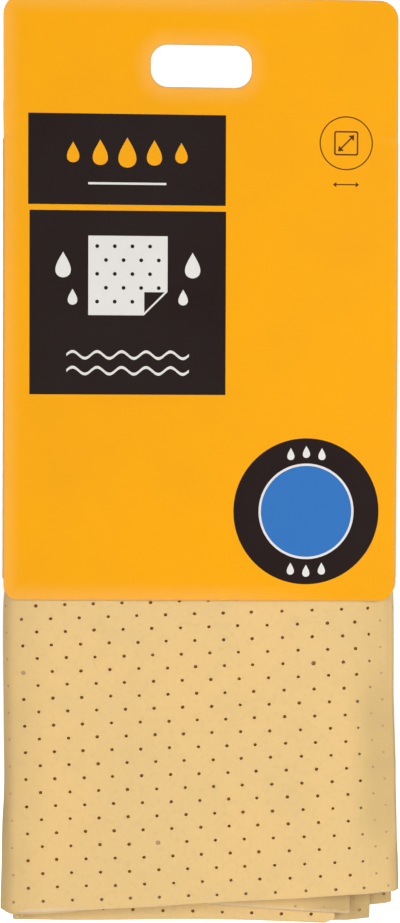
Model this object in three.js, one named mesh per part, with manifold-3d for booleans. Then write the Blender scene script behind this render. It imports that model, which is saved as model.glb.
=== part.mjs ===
// A perforated synthetic chamois cloth, folded eight plies thick and held in a printed board sleeve.
// The sleeve is one creased blank: a front panel with its header, two side walls, a back panel whose top
// leans forward and is glued behind the header, and a glue flap inside the right side wall.
// The cloth is one sheet. It is folded in half with the fold at the top, then in half again with the fold
// on the right, then once more with the outer fold wrapped round the left side.
// Millimetres, +Z up, +X to the right as seen from the front, and the front faces -Y.
// The origin is the middle of the hanging slot, half way through the header.

import * as THREE from "three";
import { mergeVertices } from "three/addons/utils/BufferGeometryUtils.js";
import Module from "manifold-3d";

// Cloth: the sheet and the packet it is folded to
const ply = 0.8;
const ply_gap = 0.4;
const packet_width = 124.4;
const fold_to_edge = 245;
const inner_end_short = 18;
const inner_end_skew = 2.4;
const outer_end_short = 4.9;
const outer_end_skew = 3.7;
const front_fold_drop = 1.8;
const front_fold_drop_length = 14;

// Cloth: the free part below the sleeve, where the plies open and the edges fan out
const free_opening_share = 0.15;
const mouth_flare = 1.1;
const mouth_flare_share = 0.05;
const left_flare = 1;
const right_flare = 2.5;
const edge_stagger = 8;
const front_sheet_drop_shares = [0.56, -0.58, -0.46, 0.11, 0.26];
const back_sheet_drop_shares = [0.99, 0.69, -0.88, 0.26, 0.9];

// Card sleeve
const board = 0.4;
const glue_film = 0.2;
const card_height = 192.1;
const card_corner_radius = 6.2;
const crease_radius = 0.6;
const cut_edge_inset = 0.15;
const header_height = 45.1;
const lean_height = 13.7;
const side_clearance = 0.3;
const packet_clearance = 0.3;
const fold_clearance = 0.5;
const wall_end_setback = 0.3;
const flap_end_setback = 1.1;

// Hanging slot
const slot_width = 32.3;
const slot_height = 13.8;
const slot_corner_radius = 5.4;
const slot_drop = 21.9;

// Glue between the header's two boards, and in the side seam
const header_glue_margin = 4;
const slot_glue_margin = 3;
const seam_glue_margin = 1.5;
const seam_glue_end_margin = 9;

// Faceting, and how far a cut runs past what it cuts
const fold_steps = 6;
const outer_fold_steps = 8;
const drop_steps = 3;
const free_steps = 4;
const corner_steps = 8;
const crease_steps = 4;
const overrun = 1;

// Levels and depths that follow from the sizes above
const card_top = slot_drop;
const card_mouth = card_top - card_height;
const shoulder = card_top - header_height;
const lean_top = shoulder + lean_height;
const front_inside = -glue_film / 2;
const front_outside = front_inside - board;
const pair = 2 * ply + ply_gap;
const pair_pitch = pair + ply_gap;
const packet_depth = pair + 3 * pair_pitch;
const packet_front = front_inside + packet_clearance;
const packet_middle = packet_front + packet_depth / 2;
const back_inside = packet_front + packet_depth + packet_clearance;
const back_outside = back_inside + board;
const card_width = packet_width + 2 * side_clearance + 3 * board + glue_film;
const left_inside = -card_width / 2 + board;
const seam_outside = card_width / 2 - board;
const flap_outside = seam_outside - glue_film;
const packet_left = left_inside + side_clearance;
const packet_right = packet_left + packet_width;
const cloth_top = shoulder - fold_clearance;
const cloth_bottom = cloth_top - fold_to_edge;

const wasm = await Module();
wasm.setup();

// A closed geometry as a solid for cutting and joining, and back again
function solidOf(geometry) {
  const plain = geometry.clone();
  plain.deleteAttribute("normal");
  plain.deleteAttribute("uv");
  const merged = mergeVertices(plain);
  return new wasm.Manifold(new wasm.Mesh({
    numProp: 3,
    vertProperties: new Float32Array(merged.attributes.position.array),
    triVerts: new Uint32Array(merged.index.array),
  }));
}

function geometryOf(solid) {
  const mesh = solid.getMesh();
  const geometry = new THREE.BufferGeometry();
  geometry.setAttribute("position", new THREE.BufferAttribute(mesh.vertProperties, 3));
  geometry.setIndex(new THREE.BufferAttribute(mesh.triVerts, 1));
  geometry.computeVertexNormals();
  return geometry;
}

// An outline extruded along Z, along X (outline in Y and Z), or along Y (outline in X and Z)
function extrudeUp(shape, low, high) {
  const geometry = new THREE.ExtrudeGeometry(shape, {
    depth: high - low, bevelEnabled: false, curveSegments: corner_steps,
  });
  return geometry.translate(0, 0, low);
}

function extrudeAcross(shape, low, high) {
  const turn = new THREE.Matrix4().makeBasis(
    new THREE.Vector3(0, 1, 0), new THREE.Vector3(0, 0, 1), new THREE.Vector3(1, 0, 0));
  return extrudeUp(shape, low, high).applyMatrix4(turn);
}

function extrudeBack(shape, low, high) {
  const turn = new THREE.Matrix4().makeBasis(
    new THREE.Vector3(1, 0, 0), new THREE.Vector3(0, 0, 1), new THREE.Vector3(0, -1, 0));
  return extrudeUp(shape, -high, -low).applyMatrix4(turn);
}

function rectangle(left, right, low, high) {
  const shape = new THREE.Shape();
  shape.moveTo(left, low);
  shape.lineTo(right, low);
  shape.lineTo(right, high);
  shape.lineTo(left, high);
  shape.closePath();
  return shape;
}

function roundedRectangle(left, right, low, high, radius) {
  const shape = new THREE.Shape();
  shape.moveTo(left + radius, low);
  shape.lineTo(right - radius, low);
  shape.absarc(right - radius, low + radius, radius, -Math.PI / 2, 0);
  shape.lineTo(right, high - radius);
  shape.absarc(right - radius, high - radius, radius, 0, Math.PI / 2);
  shape.lineTo(left + radius, high);
  shape.absarc(left + radius, high - radius, radius, Math.PI / 2, Math.PI);
  shape.lineTo(left, low + radius);
  shape.absarc(left + radius, low + radius, radius, Math.PI, Math.PI * 1.5);
  shape.closePath();
  return shape;
}

// A line of board through the given corners, each corner turned on the crease's radius
function boardOutline(corners) {
  const middle_radius = crease_radius - board / 2;
  const line = [];
  corners.forEach((corner, index) => {
    if (index === 0 || index === corners.length - 1) {
      const next = corners[index === 0 ? 1 : index - 1];
      const way = next.clone().sub(corner).normalize().multiplyScalar(index === 0 ? 1 : -1);
      line.push({ point: corner, way });
      return;
    }
    const before = corner.clone().sub(corners[index - 1]).normalize();
    const after = corners[index + 1].clone().sub(corner).normalize();
    const turn = Math.atan2(before.cross(after), before.dot(after));
    const reach = middle_radius * Math.tan(Math.abs(turn) / 2);
    const start = corner.clone().addScaledVector(before, -reach);
    const inward = new THREE.Vector2(-before.y, before.x).multiplyScalar(Math.sign(turn));
    const centre = start.clone().addScaledVector(inward, middle_radius);
    for (let step = 0; step <= crease_steps; step += 1) {
      const angle = turn * step / crease_steps;
      const origin = new THREE.Vector2(0, 0);
      const arm = inward.clone().negate().rotateAround(origin, angle);
      const way = before.clone().rotateAround(origin, angle);
      line.push({ point: centre.clone().addScaledVector(arm, middle_radius), way });
    }
  });
  const side = (sign) => line.map(({ point, way }) =>
    new THREE.Vector2(point.x - way.y * sign * board / 2, point.y + way.x * sign * board / 2));
  return new THREE.Shape([...side(-1), ...side(1).reverse()]);
}

// The sleeve's level section, from the side wall's free edge round to the glue flap's
function tubeOutline() {
  const middle = board / 2;
  const right = card_width / 2 - middle;
  const left = -card_width / 2 + middle;
  const front = front_outside + middle;
  const back = back_outside - middle;
  const flap = flap_outside - middle;
  return boardOutline([
    new THREE.Vector2(right, back_outside - wall_end_setback),
    new THREE.Vector2(right, front),
    new THREE.Vector2(left, front),
    new THREE.Vector2(left, back),
    new THREE.Vector2(flap, back),
    new THREE.Vector2(flap, front_inside + flap_end_setback),
  ]);
}

// The back panel's top, which leans forward over the cloth and stands up again behind the header
function leanOutline() {
  const back = back_outside - board / 2;
  const header = -front_inside + board / 2;
  return boardOutline([
    new THREE.Vector2(back, shoulder - board),
    new THREE.Vector2(back, shoulder),
    new THREE.Vector2(header, lean_top),
    new THREE.Vector2(header, card_top + overrun),
  ]);
}

function cardSleeve() {
  const cut_left = -card_width / 2 + cut_edge_inset;
  const cut_right = card_width / 2 - cut_edge_inset;
  const back_cut_right = flap_outside - cut_edge_inset;
  const tube = solidOf(extrudeUp(tubeOutline(), card_mouth - overrun, shoulder));
  const header_board = rectangle(cut_left, cut_right, shoulder - board, card_top + overrun);
  const header = solidOf(extrudeBack(header_board, front_outside, front_inside));
  const lean = solidOf(extrudeAcross(leanOutline(), cut_left, back_cut_right));
  const die = roundedRectangle(
    -card_width / 2, card_width / 2, card_mouth, card_top, card_corner_radius);
  const slot = roundedRectangle(
    -slot_width / 2, slot_width / 2, -slot_height / 2, slot_height / 2, slot_corner_radius);
  const front = front_outside - overrun;
  const back = back_outside + overrun;
  return geometryOf(tube.add(header).add(lean)
    .intersect(solidOf(extrudeBack(die, front, back)))
    .subtract(solidOf(extrudeBack(slot, front, back))));
}

// One patch of glue between the header's boards, kept back from the edges and from the slot
function headerGlue() {
  const left = -card_width / 2 + header_glue_margin;
  const right = card_width / 2 - header_glue_margin;
  const patch = roundedRectangle(
    left, right, lean_top + seam_glue_margin, card_top - header_glue_margin, slot_glue_margin);
  const clear_width = slot_width / 2 + slot_glue_margin;
  const clear_height = slot_height / 2 + slot_glue_margin;
  const clear = roundedRectangle(-clear_width, clear_width, -clear_height, clear_height,
    slot_corner_radius + slot_glue_margin);
  const film = solidOf(extrudeBack(patch, front_inside, -front_inside));
  return geometryOf(film.subtract(
    solidOf(extrudeBack(clear, front_inside - overrun, -front_inside + overrun))));
}

// One strip of glue between the right side wall and the flap inside it
function sideSeamGlue() {
  const strip = rectangle(
    front_inside + flap_end_setback + seam_glue_margin,
    back_inside - seam_glue_margin,
    card_mouth + seam_glue_end_margin,
    shoulder - seam_glue_end_margin);
  return extrudeAcross(strip, flap_outside, seam_outside);
}

// The rows of the sheet's section, from the front sheet's edge up over the top fold to the back sheet's edge.
// side is 1 on the front sheet and -1 on the back one, and free runs from 0 at the mouth to 1 at the edge.
function sheetRows() {
  const even = Array.from({ length: free_steps }, (_, index) => (index + 1) / free_steps);
  const frees = [0, mouth_flare_share, ...even];
  const rows = frees.toReversed().map((free) => ({ side: 1, lift: 0, free, folded: false }));
  for (let step = 0; step <= fold_steps; step += 1) {
    const angle = Math.PI * step / fold_steps;
    rows.push({ side: Math.cos(angle), lift: Math.sin(angle), free: 0, folded: true });
  }
  return [...rows, ...frees.map((free) => ({ side: -1, lift: 0, free, folded: false }))];
}

// The doubled sheet's middle line along one row, from the inner cut end to the outer one.
// Each station has its place, the way towards the front sheet, and its leg, which counts the folds passed.
function packetLine({ side, free, folded }) {
  const pitch = pair_pitch * (1 + free_opening_share * free ** 2);
  const left = packet_left - left_flare * free ** 2;
  const flare = mouth_flare * Math.min(free / mouth_flare_share, 1) + right_flare * free;
  const right = packet_right + flare;
  const turn_left = left + pitch * 1.5 + pair / 2;
  const turn_right = right - pitch / 2 - pair / 2;
  const level = folded ? cloth_top : card_mouth + free * (cloth_bottom - card_mouth);
  const skew = side * (cloth_top - level) / fold_to_edge;
  const layers = [-1.5, -0.5, 0.5, 1.5].map((place) => packet_middle + place * pitch);
  const stations = [];

  // A half turn on one side of the packet, from one layer to another
  const halfTurn = (leg, x, from, to, hand, drop, steps) => {
    const away = Math.sign(from - to);
    for (let step = 0; step <= steps; step += 1) {
      const angle = Math.PI * step / steps;
      const arm = new THREE.Vector2(hand * Math.sin(angle), away * Math.cos(angle));
      const middle = new THREE.Vector2(x, (from + to) / 2 + drop);
      const point = middle.addScaledVector(arm, Math.abs(to - from) / 2);
      stations.push({ leg, point, facing: arm.multiplyScalar(hand * away) });
    }
  };

  // Two layers drop back on their way to the right fold, where nothing fills the packet behind them
  const dropping = (leg, layer, way, shares) => shares.forEach((share) => {
    const x = turn_right - front_fold_drop_length * (1 - share);
    const y = layer + front_fold_drop * (3 * share ** 2 - 2 * share ** 3);
    const slope = 6 * (share - share ** 2) * front_fold_drop / front_fold_drop_length;
    const along = (x - turn_left) / (turn_right - turn_left);
    const facing = new THREE.Vector2(-slope, 1).normalize().multiplyScalar(way);
    stations.push({ leg: leg + way * along, point: new THREE.Vector2(x, y), facing });
  });

  const cutEnd = (leg, short, end_skew, layer, way) => stations.push({
    leg,
    point: new THREE.Vector2(right - short + end_skew * skew, layer),
    facing: new THREE.Vector2(0, way),
  });

  const shares = Array.from({ length: drop_steps }, (_, index) => index / drop_steps);
  cutEnd(0, inner_end_short, inner_end_skew, layers[2], -1);
  halfTurn(1, turn_left, layers[2], layers[1], -1, 0, fold_steps);
  dropping(1, layers[1], 1, shares);
  halfTurn(2, turn_right, layers[1], layers[0], 1, front_fold_drop, fold_steps);
  dropping(3, layers[0], -1, shares.toReversed());
  halfTurn(3, turn_left, layers[0], layers[3], -1, 0, outer_fold_steps);
  cutEnd(4, outer_end_short, outer_end_skew, layers[3], 1);
  return stations;
}

// The level of one sheet's cut edge at a leg, straight between the folds
function edgeLevel(leg, shares) {
  const fold = Math.min(Math.floor(leg), shares.length - 2);
  const drop = THREE.MathUtils.lerp(shares[fold], shares[fold + 1], leg - fold);
  return cloth_bottom - edge_stagger * drop;
}

// One face of the folded sheet, a given distance from the doubled sheet's middle
function sheetFace(distance) {
  return sheetRows().map((row) => packetLine(row).map(({ leg, point, facing }) => {
    const shares = row.side > 0 ? front_sheet_drop_shares : back_sheet_drop_shares;
    const hanging = THREE.MathUtils.lerp(card_mouth, edgeLevel(leg, shares), row.free);
    const folding = cloth_top - pair / 2 + distance * row.lift;
    const place = point.clone().addScaledVector(facing, distance * row.side);
    return [place.x, place.y, row.folded ? folding : hanging];
  }));
}

// The whole cloth as one closed sheet: its outer and inner faces, joined round the four cut edges
function chamoisCloth() {
  const outer = sheetFace(pair / 2);
  const inner = sheetFace(ply_gap / 2);
  const positions = [...outer, ...inner].flat(2);
  const last_row = outer.length - 1;
  const last_station = outer[0].length - 1;
  const outerAt = (row, station) => row * outer[0].length + station;
  const innerAt = (row, station) => outer.length * outer[0].length + outerAt(row, station);
  const index = [];
  const quad = (a, b, c, d) => index.push(a, b, c, a, c, d);
  for (let row = 0; row < last_row; row += 1) {
    for (let station = 0; station < last_station; station += 1) {
      quad(outerAt(row, station), outerAt(row + 1, station),
        outerAt(row + 1, station + 1), outerAt(row, station + 1));
      quad(innerAt(row, station), innerAt(row, station + 1),
        innerAt(row + 1, station + 1), innerAt(row + 1, station));
    }
    quad(outerAt(row, 0), innerAt(row, 0), innerAt(row + 1, 0), outerAt(row + 1, 0));
    quad(innerAt(row, last_station), outerAt(row, last_station),
      outerAt(row + 1, last_station), innerAt(row + 1, last_station));
  }
  for (let station = 0; station < last_station; station += 1) {
    quad(outerAt(0, station), outerAt(0, station + 1),
      innerAt(0, station + 1), innerAt(0, station));
    quad(innerAt(last_row, station), innerAt(last_row, station + 1),
      outerAt(last_row, station + 1), outerAt(last_row, station));
  }
  const geometry = new THREE.BufferGeometry();
  geometry.setAttribute("position", new THREE.Float32BufferAttribute(positions, 3));
  geometry.setIndex(index);
  geometry.computeVertexNormals();
  return geometry;
}

const printed_board = new THREE.MeshStandardMaterial({ color: 0xfead17, roughness: 0.45, metalness: 0 });
const chamois = new THREE.MeshStandardMaterial({ color: 0xedca8a, roughness: 0.95, metalness: 0 });
const paper_glue = new THREE.MeshStandardMaterial({ color: 0xe9e4d4, roughness: 0.6, metalness: 0 });

function piece(name, geometry, material) {
  const mesh = new THREE.Mesh(geometry, material);
  mesh.name = name;
  return mesh;
}

const packet = new THREE.Group();
packet.add(piece("card_sleeve", cardSleeve(), printed_board));
packet.add(piece("header_glue", headerGlue(), paper_glue));
packet.add(piece("side_seam_glue", sideSeamGlue(), paper_glue));
packet.add(piece("chamois_cloth", chamoisCloth(), chamois));

export default packet;
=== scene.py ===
"""A perforated synthetic chamois cloth, folded into a packet and held in its printed hanging sleeve.

Metres in the frame of the solids: +Z up, +X to the right seen from the front, the front faces -Y, and the
origin is the middle of the hanging slot. Sizes are written in millimetres and scaled once, in the meshes.
"""

import logging
import math
from dataclasses import dataclass, field
from enum import Enum

import bpy
import numpy as np
from mathutils import Matrix, Vector
from mathutils.geometry import delaunay_2d_cdt


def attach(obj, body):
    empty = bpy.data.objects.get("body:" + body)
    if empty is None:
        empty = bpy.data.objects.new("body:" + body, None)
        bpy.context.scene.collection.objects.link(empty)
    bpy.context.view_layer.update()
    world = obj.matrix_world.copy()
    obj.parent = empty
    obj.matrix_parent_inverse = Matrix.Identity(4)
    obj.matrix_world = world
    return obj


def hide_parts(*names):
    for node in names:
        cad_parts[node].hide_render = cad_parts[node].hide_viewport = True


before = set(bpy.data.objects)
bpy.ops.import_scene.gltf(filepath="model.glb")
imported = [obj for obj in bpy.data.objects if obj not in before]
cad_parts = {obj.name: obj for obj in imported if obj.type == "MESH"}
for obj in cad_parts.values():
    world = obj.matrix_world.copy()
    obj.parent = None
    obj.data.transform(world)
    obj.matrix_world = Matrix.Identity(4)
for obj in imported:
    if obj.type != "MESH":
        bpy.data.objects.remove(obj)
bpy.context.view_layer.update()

MM = 0.001
LOG = logging.getLogger("packet")

Colour = tuple[float, float, float]
Loop = np.ndarray
Table = tuple[tuple[float, ...], tuple[float, ...]]


def srgb(red: float, green: float, blue: float) -> Colour:
    """A colour given from 0 to 255 as linear light.

    Args:
        red: The red part, 0 to 255.
        green: The green part, 0 to 255.
        blue: The blue part, 0 to 255.

    Returns:
        The three linear parts, 0 to 1.
    """
    def linear(part: float) -> float:
        """One part as linear light."""
        part = part / 255
        return part / 12.92 if part <= 0.04045 else ((part + 0.055) / 1.055) ** 2.4
    return linear(red), linear(green), linear(blue)


def smooth(low: float, high: float, value: np.ndarray | float) -> np.ndarray:
    """A smooth rise from 0 at low to 1 at high, which may lie below low."""
    share = np.clip((np.asarray(value, float) - low) / (high - low), 0, 1)
    return share * share * (3 - 2 * share)


def unit(ways: np.ndarray) -> np.ndarray:
    """The same directions with a length of 1."""
    return ways / np.maximum(np.linalg.norm(ways, axis=-1, keepdims=True), 1e-9)


def linked(name: str, data: bpy.types.ID) -> bpy.types.Object:
    """A new object in the scene.

    Args:
        name: Its name.
        data: Its mesh, light or camera.

    Returns:
        The object.
    """
    made = bpy.data.objects.new(name, data)
    bpy.context.scene.collection.objects.link(made)
    return made


class Wire:
    """A node's output that can be reckoned with: each sum adds a Math node."""

    def __init__(self, bench: "Bench", socket: bpy.types.NodeSocket) -> None:
        """Keeps the output and the bench that its sums go on."""
        self.bench, self.socket = bench, socket

    def __add__(self, other: object) -> "Wire":
        """The sum of both."""
        return self.bench.sum("ADD", self, other)

    def __sub__(self, other: object) -> "Wire":
        """What is left without the other."""
        return self.bench.sum("SUBTRACT", self, other)

    def __mul__(self, other: object) -> "Wire":
        """The product of both."""
        return self.bench.sum("MULTIPLY", self, other)

    def __truediv__(self, other: object) -> "Wire":
        """Its share of the other."""
        return self.bench.sum("DIVIDE", self, other)

    def __abs__(self) -> "Wire":
        """Its size without a sign."""
        return self.bench.sum("ABSOLUTE", self)


class Bench:
    """Adds nodes to a tree, and sets or links each input by its name or its number."""

    def __init__(self, tree: bpy.types.NodeTree) -> None:
        """Keeps the tree that the nodes go into."""
        self.tree = tree

    def feed(self, node: bpy.types.Node, name: str | int, value: object) -> None:
        """Links a wire to one input of a node, or sets it to a constant.

        Args:
            node: The node.
            name: The input's number, or its name among those in use.
            value: The wire, the constant, or a list of wires for an input that takes several.
        """
        socket = node.inputs[name] if isinstance(name, int) else next(
            part for part in node.inputs if part.name == name and part.enabled)
        if isinstance(value, Wire):
            self.tree.links.new(value.socket, socket)
        elif isinstance(value, list) and isinstance(value[0], Wire):
            for wire in value:
                self.tree.links.new(wire.socket, socket)
        else:
            socket.default_value = (*value, 1) if socket.type == "RGBA" else value

    def fill(self, node: bpy.types.Node, inputs: dict) -> bpy.types.Node:
        """Feeds several inputs of a node.

        Args:
            node: The node.
            inputs: What its inputs hold, by name or number.

        Returns:
            The same node.
        """
        for name, value in inputs.items():
            self.feed(node, name, value)
        return node

    def add(self, kind: str, inputs: dict | None = None, **settings: object) -> bpy.types.Node:
        """Adds one node.

        Args:
            kind: The node's type name.
            inputs: What its inputs hold, by name or number.
            **settings: The node's own properties.

        Returns:
            The node.
        """
        node = self.tree.nodes.new(kind)
        for name, value in settings.items():
            setattr(node, name, value)
        return self.fill(node, inputs or {})

    def out(self, kind: str, inputs: dict | None = None, output: int | str = 0,
            **settings: object) -> Wire:
        """Adds one node and gives one of its outputs."""
        return Wire(self, self.add(kind, inputs, **settings).outputs[output])

    def ports(self, output: str, **names: tuple[str, ...]) -> dict[str, Wire]:
        """Gives a group its sockets.

        Args:
            output: The name of its one output, a geometry.
            **names: The names of its inputs, by the kind of socket.

        Returns:
            The inputs by name.
        """
        face = self.tree.interface
        for kind, titles in names.items():
            for title in titles:
                face.new_socket(title, in_out="INPUT", socket_type="NodeSocket" + kind)
        face.new_socket(output, in_out="OUTPUT", socket_type="NodeSocketGeometry")
        return {socket.name: Wire(self, socket) for socket in self.add("NodeGroupInput").outputs}

    def sum(self, operation: str, *values: object) -> Wire:
        """The outcome of one Math node."""
        return self.out("ShaderNodeMath", dict(enumerate(values)), operation=operation)

    def logic(self, operation: str, *values: object) -> Wire:
        """The outcome of one Boolean Math node."""
        return self.out("FunctionNodeBooleanMath", dict(enumerate(values)), operation=operation)

    def test(self, first: object, operation: str, second: object) -> Wire:
        """Whether one number is less or greater than another."""
        return self.out("FunctionNodeCompare", {0: first, 1: second}, data_type="FLOAT", operation=operation)

    def vector(self, operation: str, first: object, second: object, output: int | str = 0) -> Wire:
        """The outcome of one Vector Math node; a scale takes a number as its second value."""
        return self.out("ShaderNodeVectorMath", {0: first, 3 if operation == "SCALE" else 1: second},
                        output, operation=operation)

    def parts(self, vector: Wire) -> list[Wire]:
        """A vector's three parts."""
        return [Wire(self, part) for part in self.add("ShaderNodeSeparateXYZ", {0: vector}).outputs]

    def whole(self, *parts: object) -> Wire:
        """A vector made of its parts."""
        return self.out("ShaderNodeCombineXYZ", dict(enumerate(parts)))

    def ramp(self, value: object, low: float, high: float, start: float = 0.0, end: float = 1.0) -> Wire:
        """A smooth change from one figure to another, while a value goes from low to high.

        Args:
            value: The value.
            low: Where the change starts.
            high: Where it ends.
            start: The figure up to low.
            end: The figure from high on.

        Returns:
            The figure.
        """
        return self.out("ShaderNodeMapRange", {"Value": value, "From Min": low, "From Max": high,
                                               "To Min": start, "To Max": end},
                        interpolation_type="SMOOTHSTEP")

    def blend(self, share: object, first: object, second: object) -> Wire:
        """A blend of two colours, by the share of the second one."""
        return self.out("ShaderNodeMix", {0: share, 6: first, 7: second}, 2, data_type="RGBA")

    def noise(self, place: object, scale: float, detail: float = 3.0, roughness: float = 0.5) -> Wire:
        """A noise of about 0 to 1, with its waves to a metre, its finer octaves and their strength."""
        return self.out("ShaderNodeTexNoise", {"Vector": place, "Scale": scale, "Detail": detail,
                                               "Roughness": roughness})

    def bump(self, height: Wire, strength: float, depth: float, **more: Wire) -> Wire:
        """A normal that follows a height, to a depth in millimetres."""
        return self.out("ShaderNodeBump", {"Height": height, "Strength": strength, "Distance": depth * MM,
                                           **more})

    def stored(self, name: str, kind: str = "FLOAT") -> Wire:
        """A value kept on the geometry."""
        return self.out("GeometryNodeInputNamedAttribute", {"Name": name}, data_type=kind)

    def store(self, geometry: Wire, name: str, value: Wire, kind: str = "FLOAT") -> Wire:
        """Keeps a value on the points of a geometry.

        Args:
            geometry: The geometry.
            name: The name the value is kept under.
            value: The value.
            kind: Its kind.

        Returns:
            The geometry with the value.
        """
        return self.out("GeometryNodeStoreNamedAttribute", {"Geometry": geometry, "Name": name,
                                                            "Value": value},
                        data_type=kind, domain="POINT")


@dataclass(frozen=True)
class Finish:
    """One material.

    Attributes:
        name: Its name.
    """

    name: str

    def look(self, bench: Bench, place: Wire) -> dict[str, object]:
        """What the shader's inputs hold, by their names, which each kind of finish says for itself."""
        raise NotImplementedError

    def build(self) -> bpy.types.Material:
        """Makes the finish.

        Returns:
            The material.
        """
        material = bpy.data.materials.new(self.name)
        material.use_nodes = True
        material.node_tree.nodes.clear()
        bench = Bench(material.node_tree)
        shader = bench.add("ShaderNodeBsdfPrincipled")
        bench.fill(shader, self.look(bench, bench.out("ShaderNodeTexCoord", output="Object")))
        bench.add("ShaderNodeOutputMaterial", {"Surface": Wire(bench, shader.outputs[0])})
        return material


@dataclass(frozen=True)
class BoardInk(Finish):
    """One printed colour on the sleeve's board, under its satin varnish.

    Attributes:
        colour: The ink.
        worn_and_shaded: What shows along cut edges and folds: partly the varnish pressed and scuffed, partly
            painted shade where the creases turn from the light. It is also the colour of the fine specks.
        roughness: How matt the varnish is.
        gloss: How strongly it reflects.
        card_half: Half the card's width and height, for the wear along its edges.
        card_middle: The height of the card's middle.
        corner: The radius of the card's corners.
        slot_half: Half the slot's width and height.
        slot_corner: The radius of the slot's corners.
        mouth_slope: How far the mouth's edge falls for each millimetre to the right.
        painted_glare: A pale reflection of a soft light, painted on the varnish beside the card's left and
            upper edges.
        glare_share: How strong the painted reflection is at the edge.
        glare_reach: How far in it reaches, in millimetres.
    """

    colour: Colour
    worn_and_shaded: Colour
    roughness: float = 0.42
    gloss: float = 0.09
    card_half: tuple[float, float] = (63.1, 96.05)
    card_middle: float = -74.15
    corner: float = 3.6
    slot_half: tuple[float, float] = (16.1, 6.7)
    slot_corner: float = 5.4
    mouth_slope: float = 0.005
    # Painted reflection: a pale tint beside the left and upper edges stands in for a soft light's glare.
    painted_glare: Colour = (1.0, 0.75, 0.5)
    glare_share: float = 0.085
    glare_reach: float = 6.5

    @staticmethod
    def edge_distance(x: Wire, z: Wire, half: tuple[float, float], radius: float) -> Wire:
        """The distance to a rounded rectangle, below 0 inside it, in metres.

        Args:
            x: The place across, from the rectangle's middle.
            z: The place up, from the rectangle's middle.
            half: Half its width and height in millimetres.
            radius: Its corners' radius in millimetres.

        Returns:
            The distance.
        """
        total = x.bench.sum
        over = [abs(place) - (reach - radius) * MM for place, reach in ((x, half[0]), (z, half[1]))]
        past = [total("POWER", total("MAXIMUM", place, 0.0), 2.0) for place in over]
        within = total("MINIMUM", total("MAXIMUM", *over), 0.0)
        return total("SQRT", past[0] + past[1]) + within - radius * MM

    def look(self, bench: Bench, place: Wire) -> dict[str, object]:
        """Slightly uneven ink with fine specks, a painted reflection beside the card's left and upper edges,
        and a pale band along its cut edges that is partly pressed varnish and partly painted shade.

        Args:
            bench: Where the nodes go.
            place: The place on the object.

        Returns:
            The values by the inputs' names.
        """
        x, _, z = bench.parts(place)
        height = z - self.card_middle * MM + x * bench.ramp(z, -0.15, -0.1, self.mouth_slope, 0.0)
        rim = self.edge_distance(x, height, self.card_half, self.corner) * -1.0
        inward = bench.sum("MINIMUM", rim, self.edge_distance(x, z, self.slot_half, self.slot_corner))
        # A band along every cut edge and the slot is blended to a paler tan. It is partly pressed varnish,
        # and partly painted shade where the creases and the mouth's edge turn from the light.
        reach = bench.ramp(bench.noise(place, 420, 4, 0.6), 0.3, 0.7, 0.4 * MM, 1.1 * MM)
        shade_and_wear = bench.ramp(inward / reach, 0.0, 1.0, 1.0, 0.0) * 0.75
        tone = tuple(part * 0.94 + 0.004 for part in self.colour)
        ink = bench.blend(bench.ramp(bench.noise(place, 16, 3, 0.55), 0.3, 0.75), self.colour, tone)
        # Painted reflection of a soft light, which pales the ink near the edges, mostly on the card's left
        # half.
        painted_glare = bench.ramp(inward, 0.0, self.glare_reach * MM, self.glare_share, 0.0)
        ink = bench.blend(painted_glare * bench.ramp(x, 0.0, 0.05, 1.0, 0.0), ink, self.painted_glare)
        speck = bench.ramp(bench.noise(place, 1900, 2, 0.7), 0.66, 0.8, 0.0, 0.22)
        ink = bench.blend(speck, ink, self.worn_and_shaded)
        fibre = bench.noise(place, 1300, 5, 0.65)
        return {"Base Color": bench.blend(shade_and_wear, ink, self.worn_and_shaded),
                "Roughness": bench.ramp(fibre + shade_and_wear, 0.3, 1.6, self.roughness - 0.05, self.roughness + 0.25),
                "Specular IOR Level": self.gloss, "Normal": bench.bump(fibre, 0.14, 0.04)}


@dataclass(frozen=True)
class BareBoard(Finish):
    """The uncoated grey-white inside and the cut edges of the board.

    Attributes:
        name: Its name.
        colour: The board.
        fibre: Its darker recycled fibres.
        roughness: How matt it is.
    """

    name: str = "bare_board"
    colour: Colour = srgb(226, 214, 190)
    fibre: Colour = srgb(186, 170, 142)
    roughness: float = 0.9

    def look(self, bench: Bench, place: Wire) -> dict[str, object]:
        """Clouds of flecks, longer upwards.

        Args:
            bench: Where the nodes go.
            place: The place on the object.

        Returns:
            The values by the inputs' names.
        """
        upright = bench.out("ShaderNodeMapping", {"Vector": place, "Scale": (1.0, 1.0, 0.35)})
        fleck, cloud = bench.noise(upright, 2600, 4, 0.7), bench.noise(place, 90, 3, 0.6)
        share = bench.ramp(fleck, 0.45, 0.75) * bench.ramp(cloud, 0.2, 0.8, 0.4, 1.0)
        return {"Base Color": bench.blend(share, self.colour, self.fibre),
                "Roughness": bench.ramp(fleck, 0.2, 0.8, self.roughness - 0.08, self.roughness + 0.06),
                "Specular IOR Level": 0.2, "Normal": bench.bump(fleck, 0.3, 0.05)}


@dataclass(frozen=True)
class DriedGlue(Finish):
    """White paper glue, dried between two boards.

    Attributes:
        name: Its name.
        colour: The glue.
        thin: The glue where little of it covers the board.
    """

    name: str = "dried_glue"
    colour: Colour = srgb(228, 222, 204)
    thin: Colour = srgb(198, 186, 158)

    def look(self, bench: Bench, place: Wire) -> dict[str, object]:
        """Smears with fine bubbles.

        Args:
            bench: Where the nodes go.
            place: The place on the object.

        Returns:
            The values by the inputs' names.
        """
        cell = bench.out("ShaderNodeTexVoronoi", {"Vector": place, "Scale": 180.0, "Randomness": 1.0},
                         "Distance")
        smear = bench.noise(place, 120, 4, 0.6)
        return {"Base Color": bench.blend(bench.ramp(smear, 0.35, 0.7), self.colour, self.thin),
                "Roughness": bench.ramp(smear, 0.2, 0.8, 0.35, 0.65),
                "Normal": bench.bump(cell + smear, 0.35, 0.06)}


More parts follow.
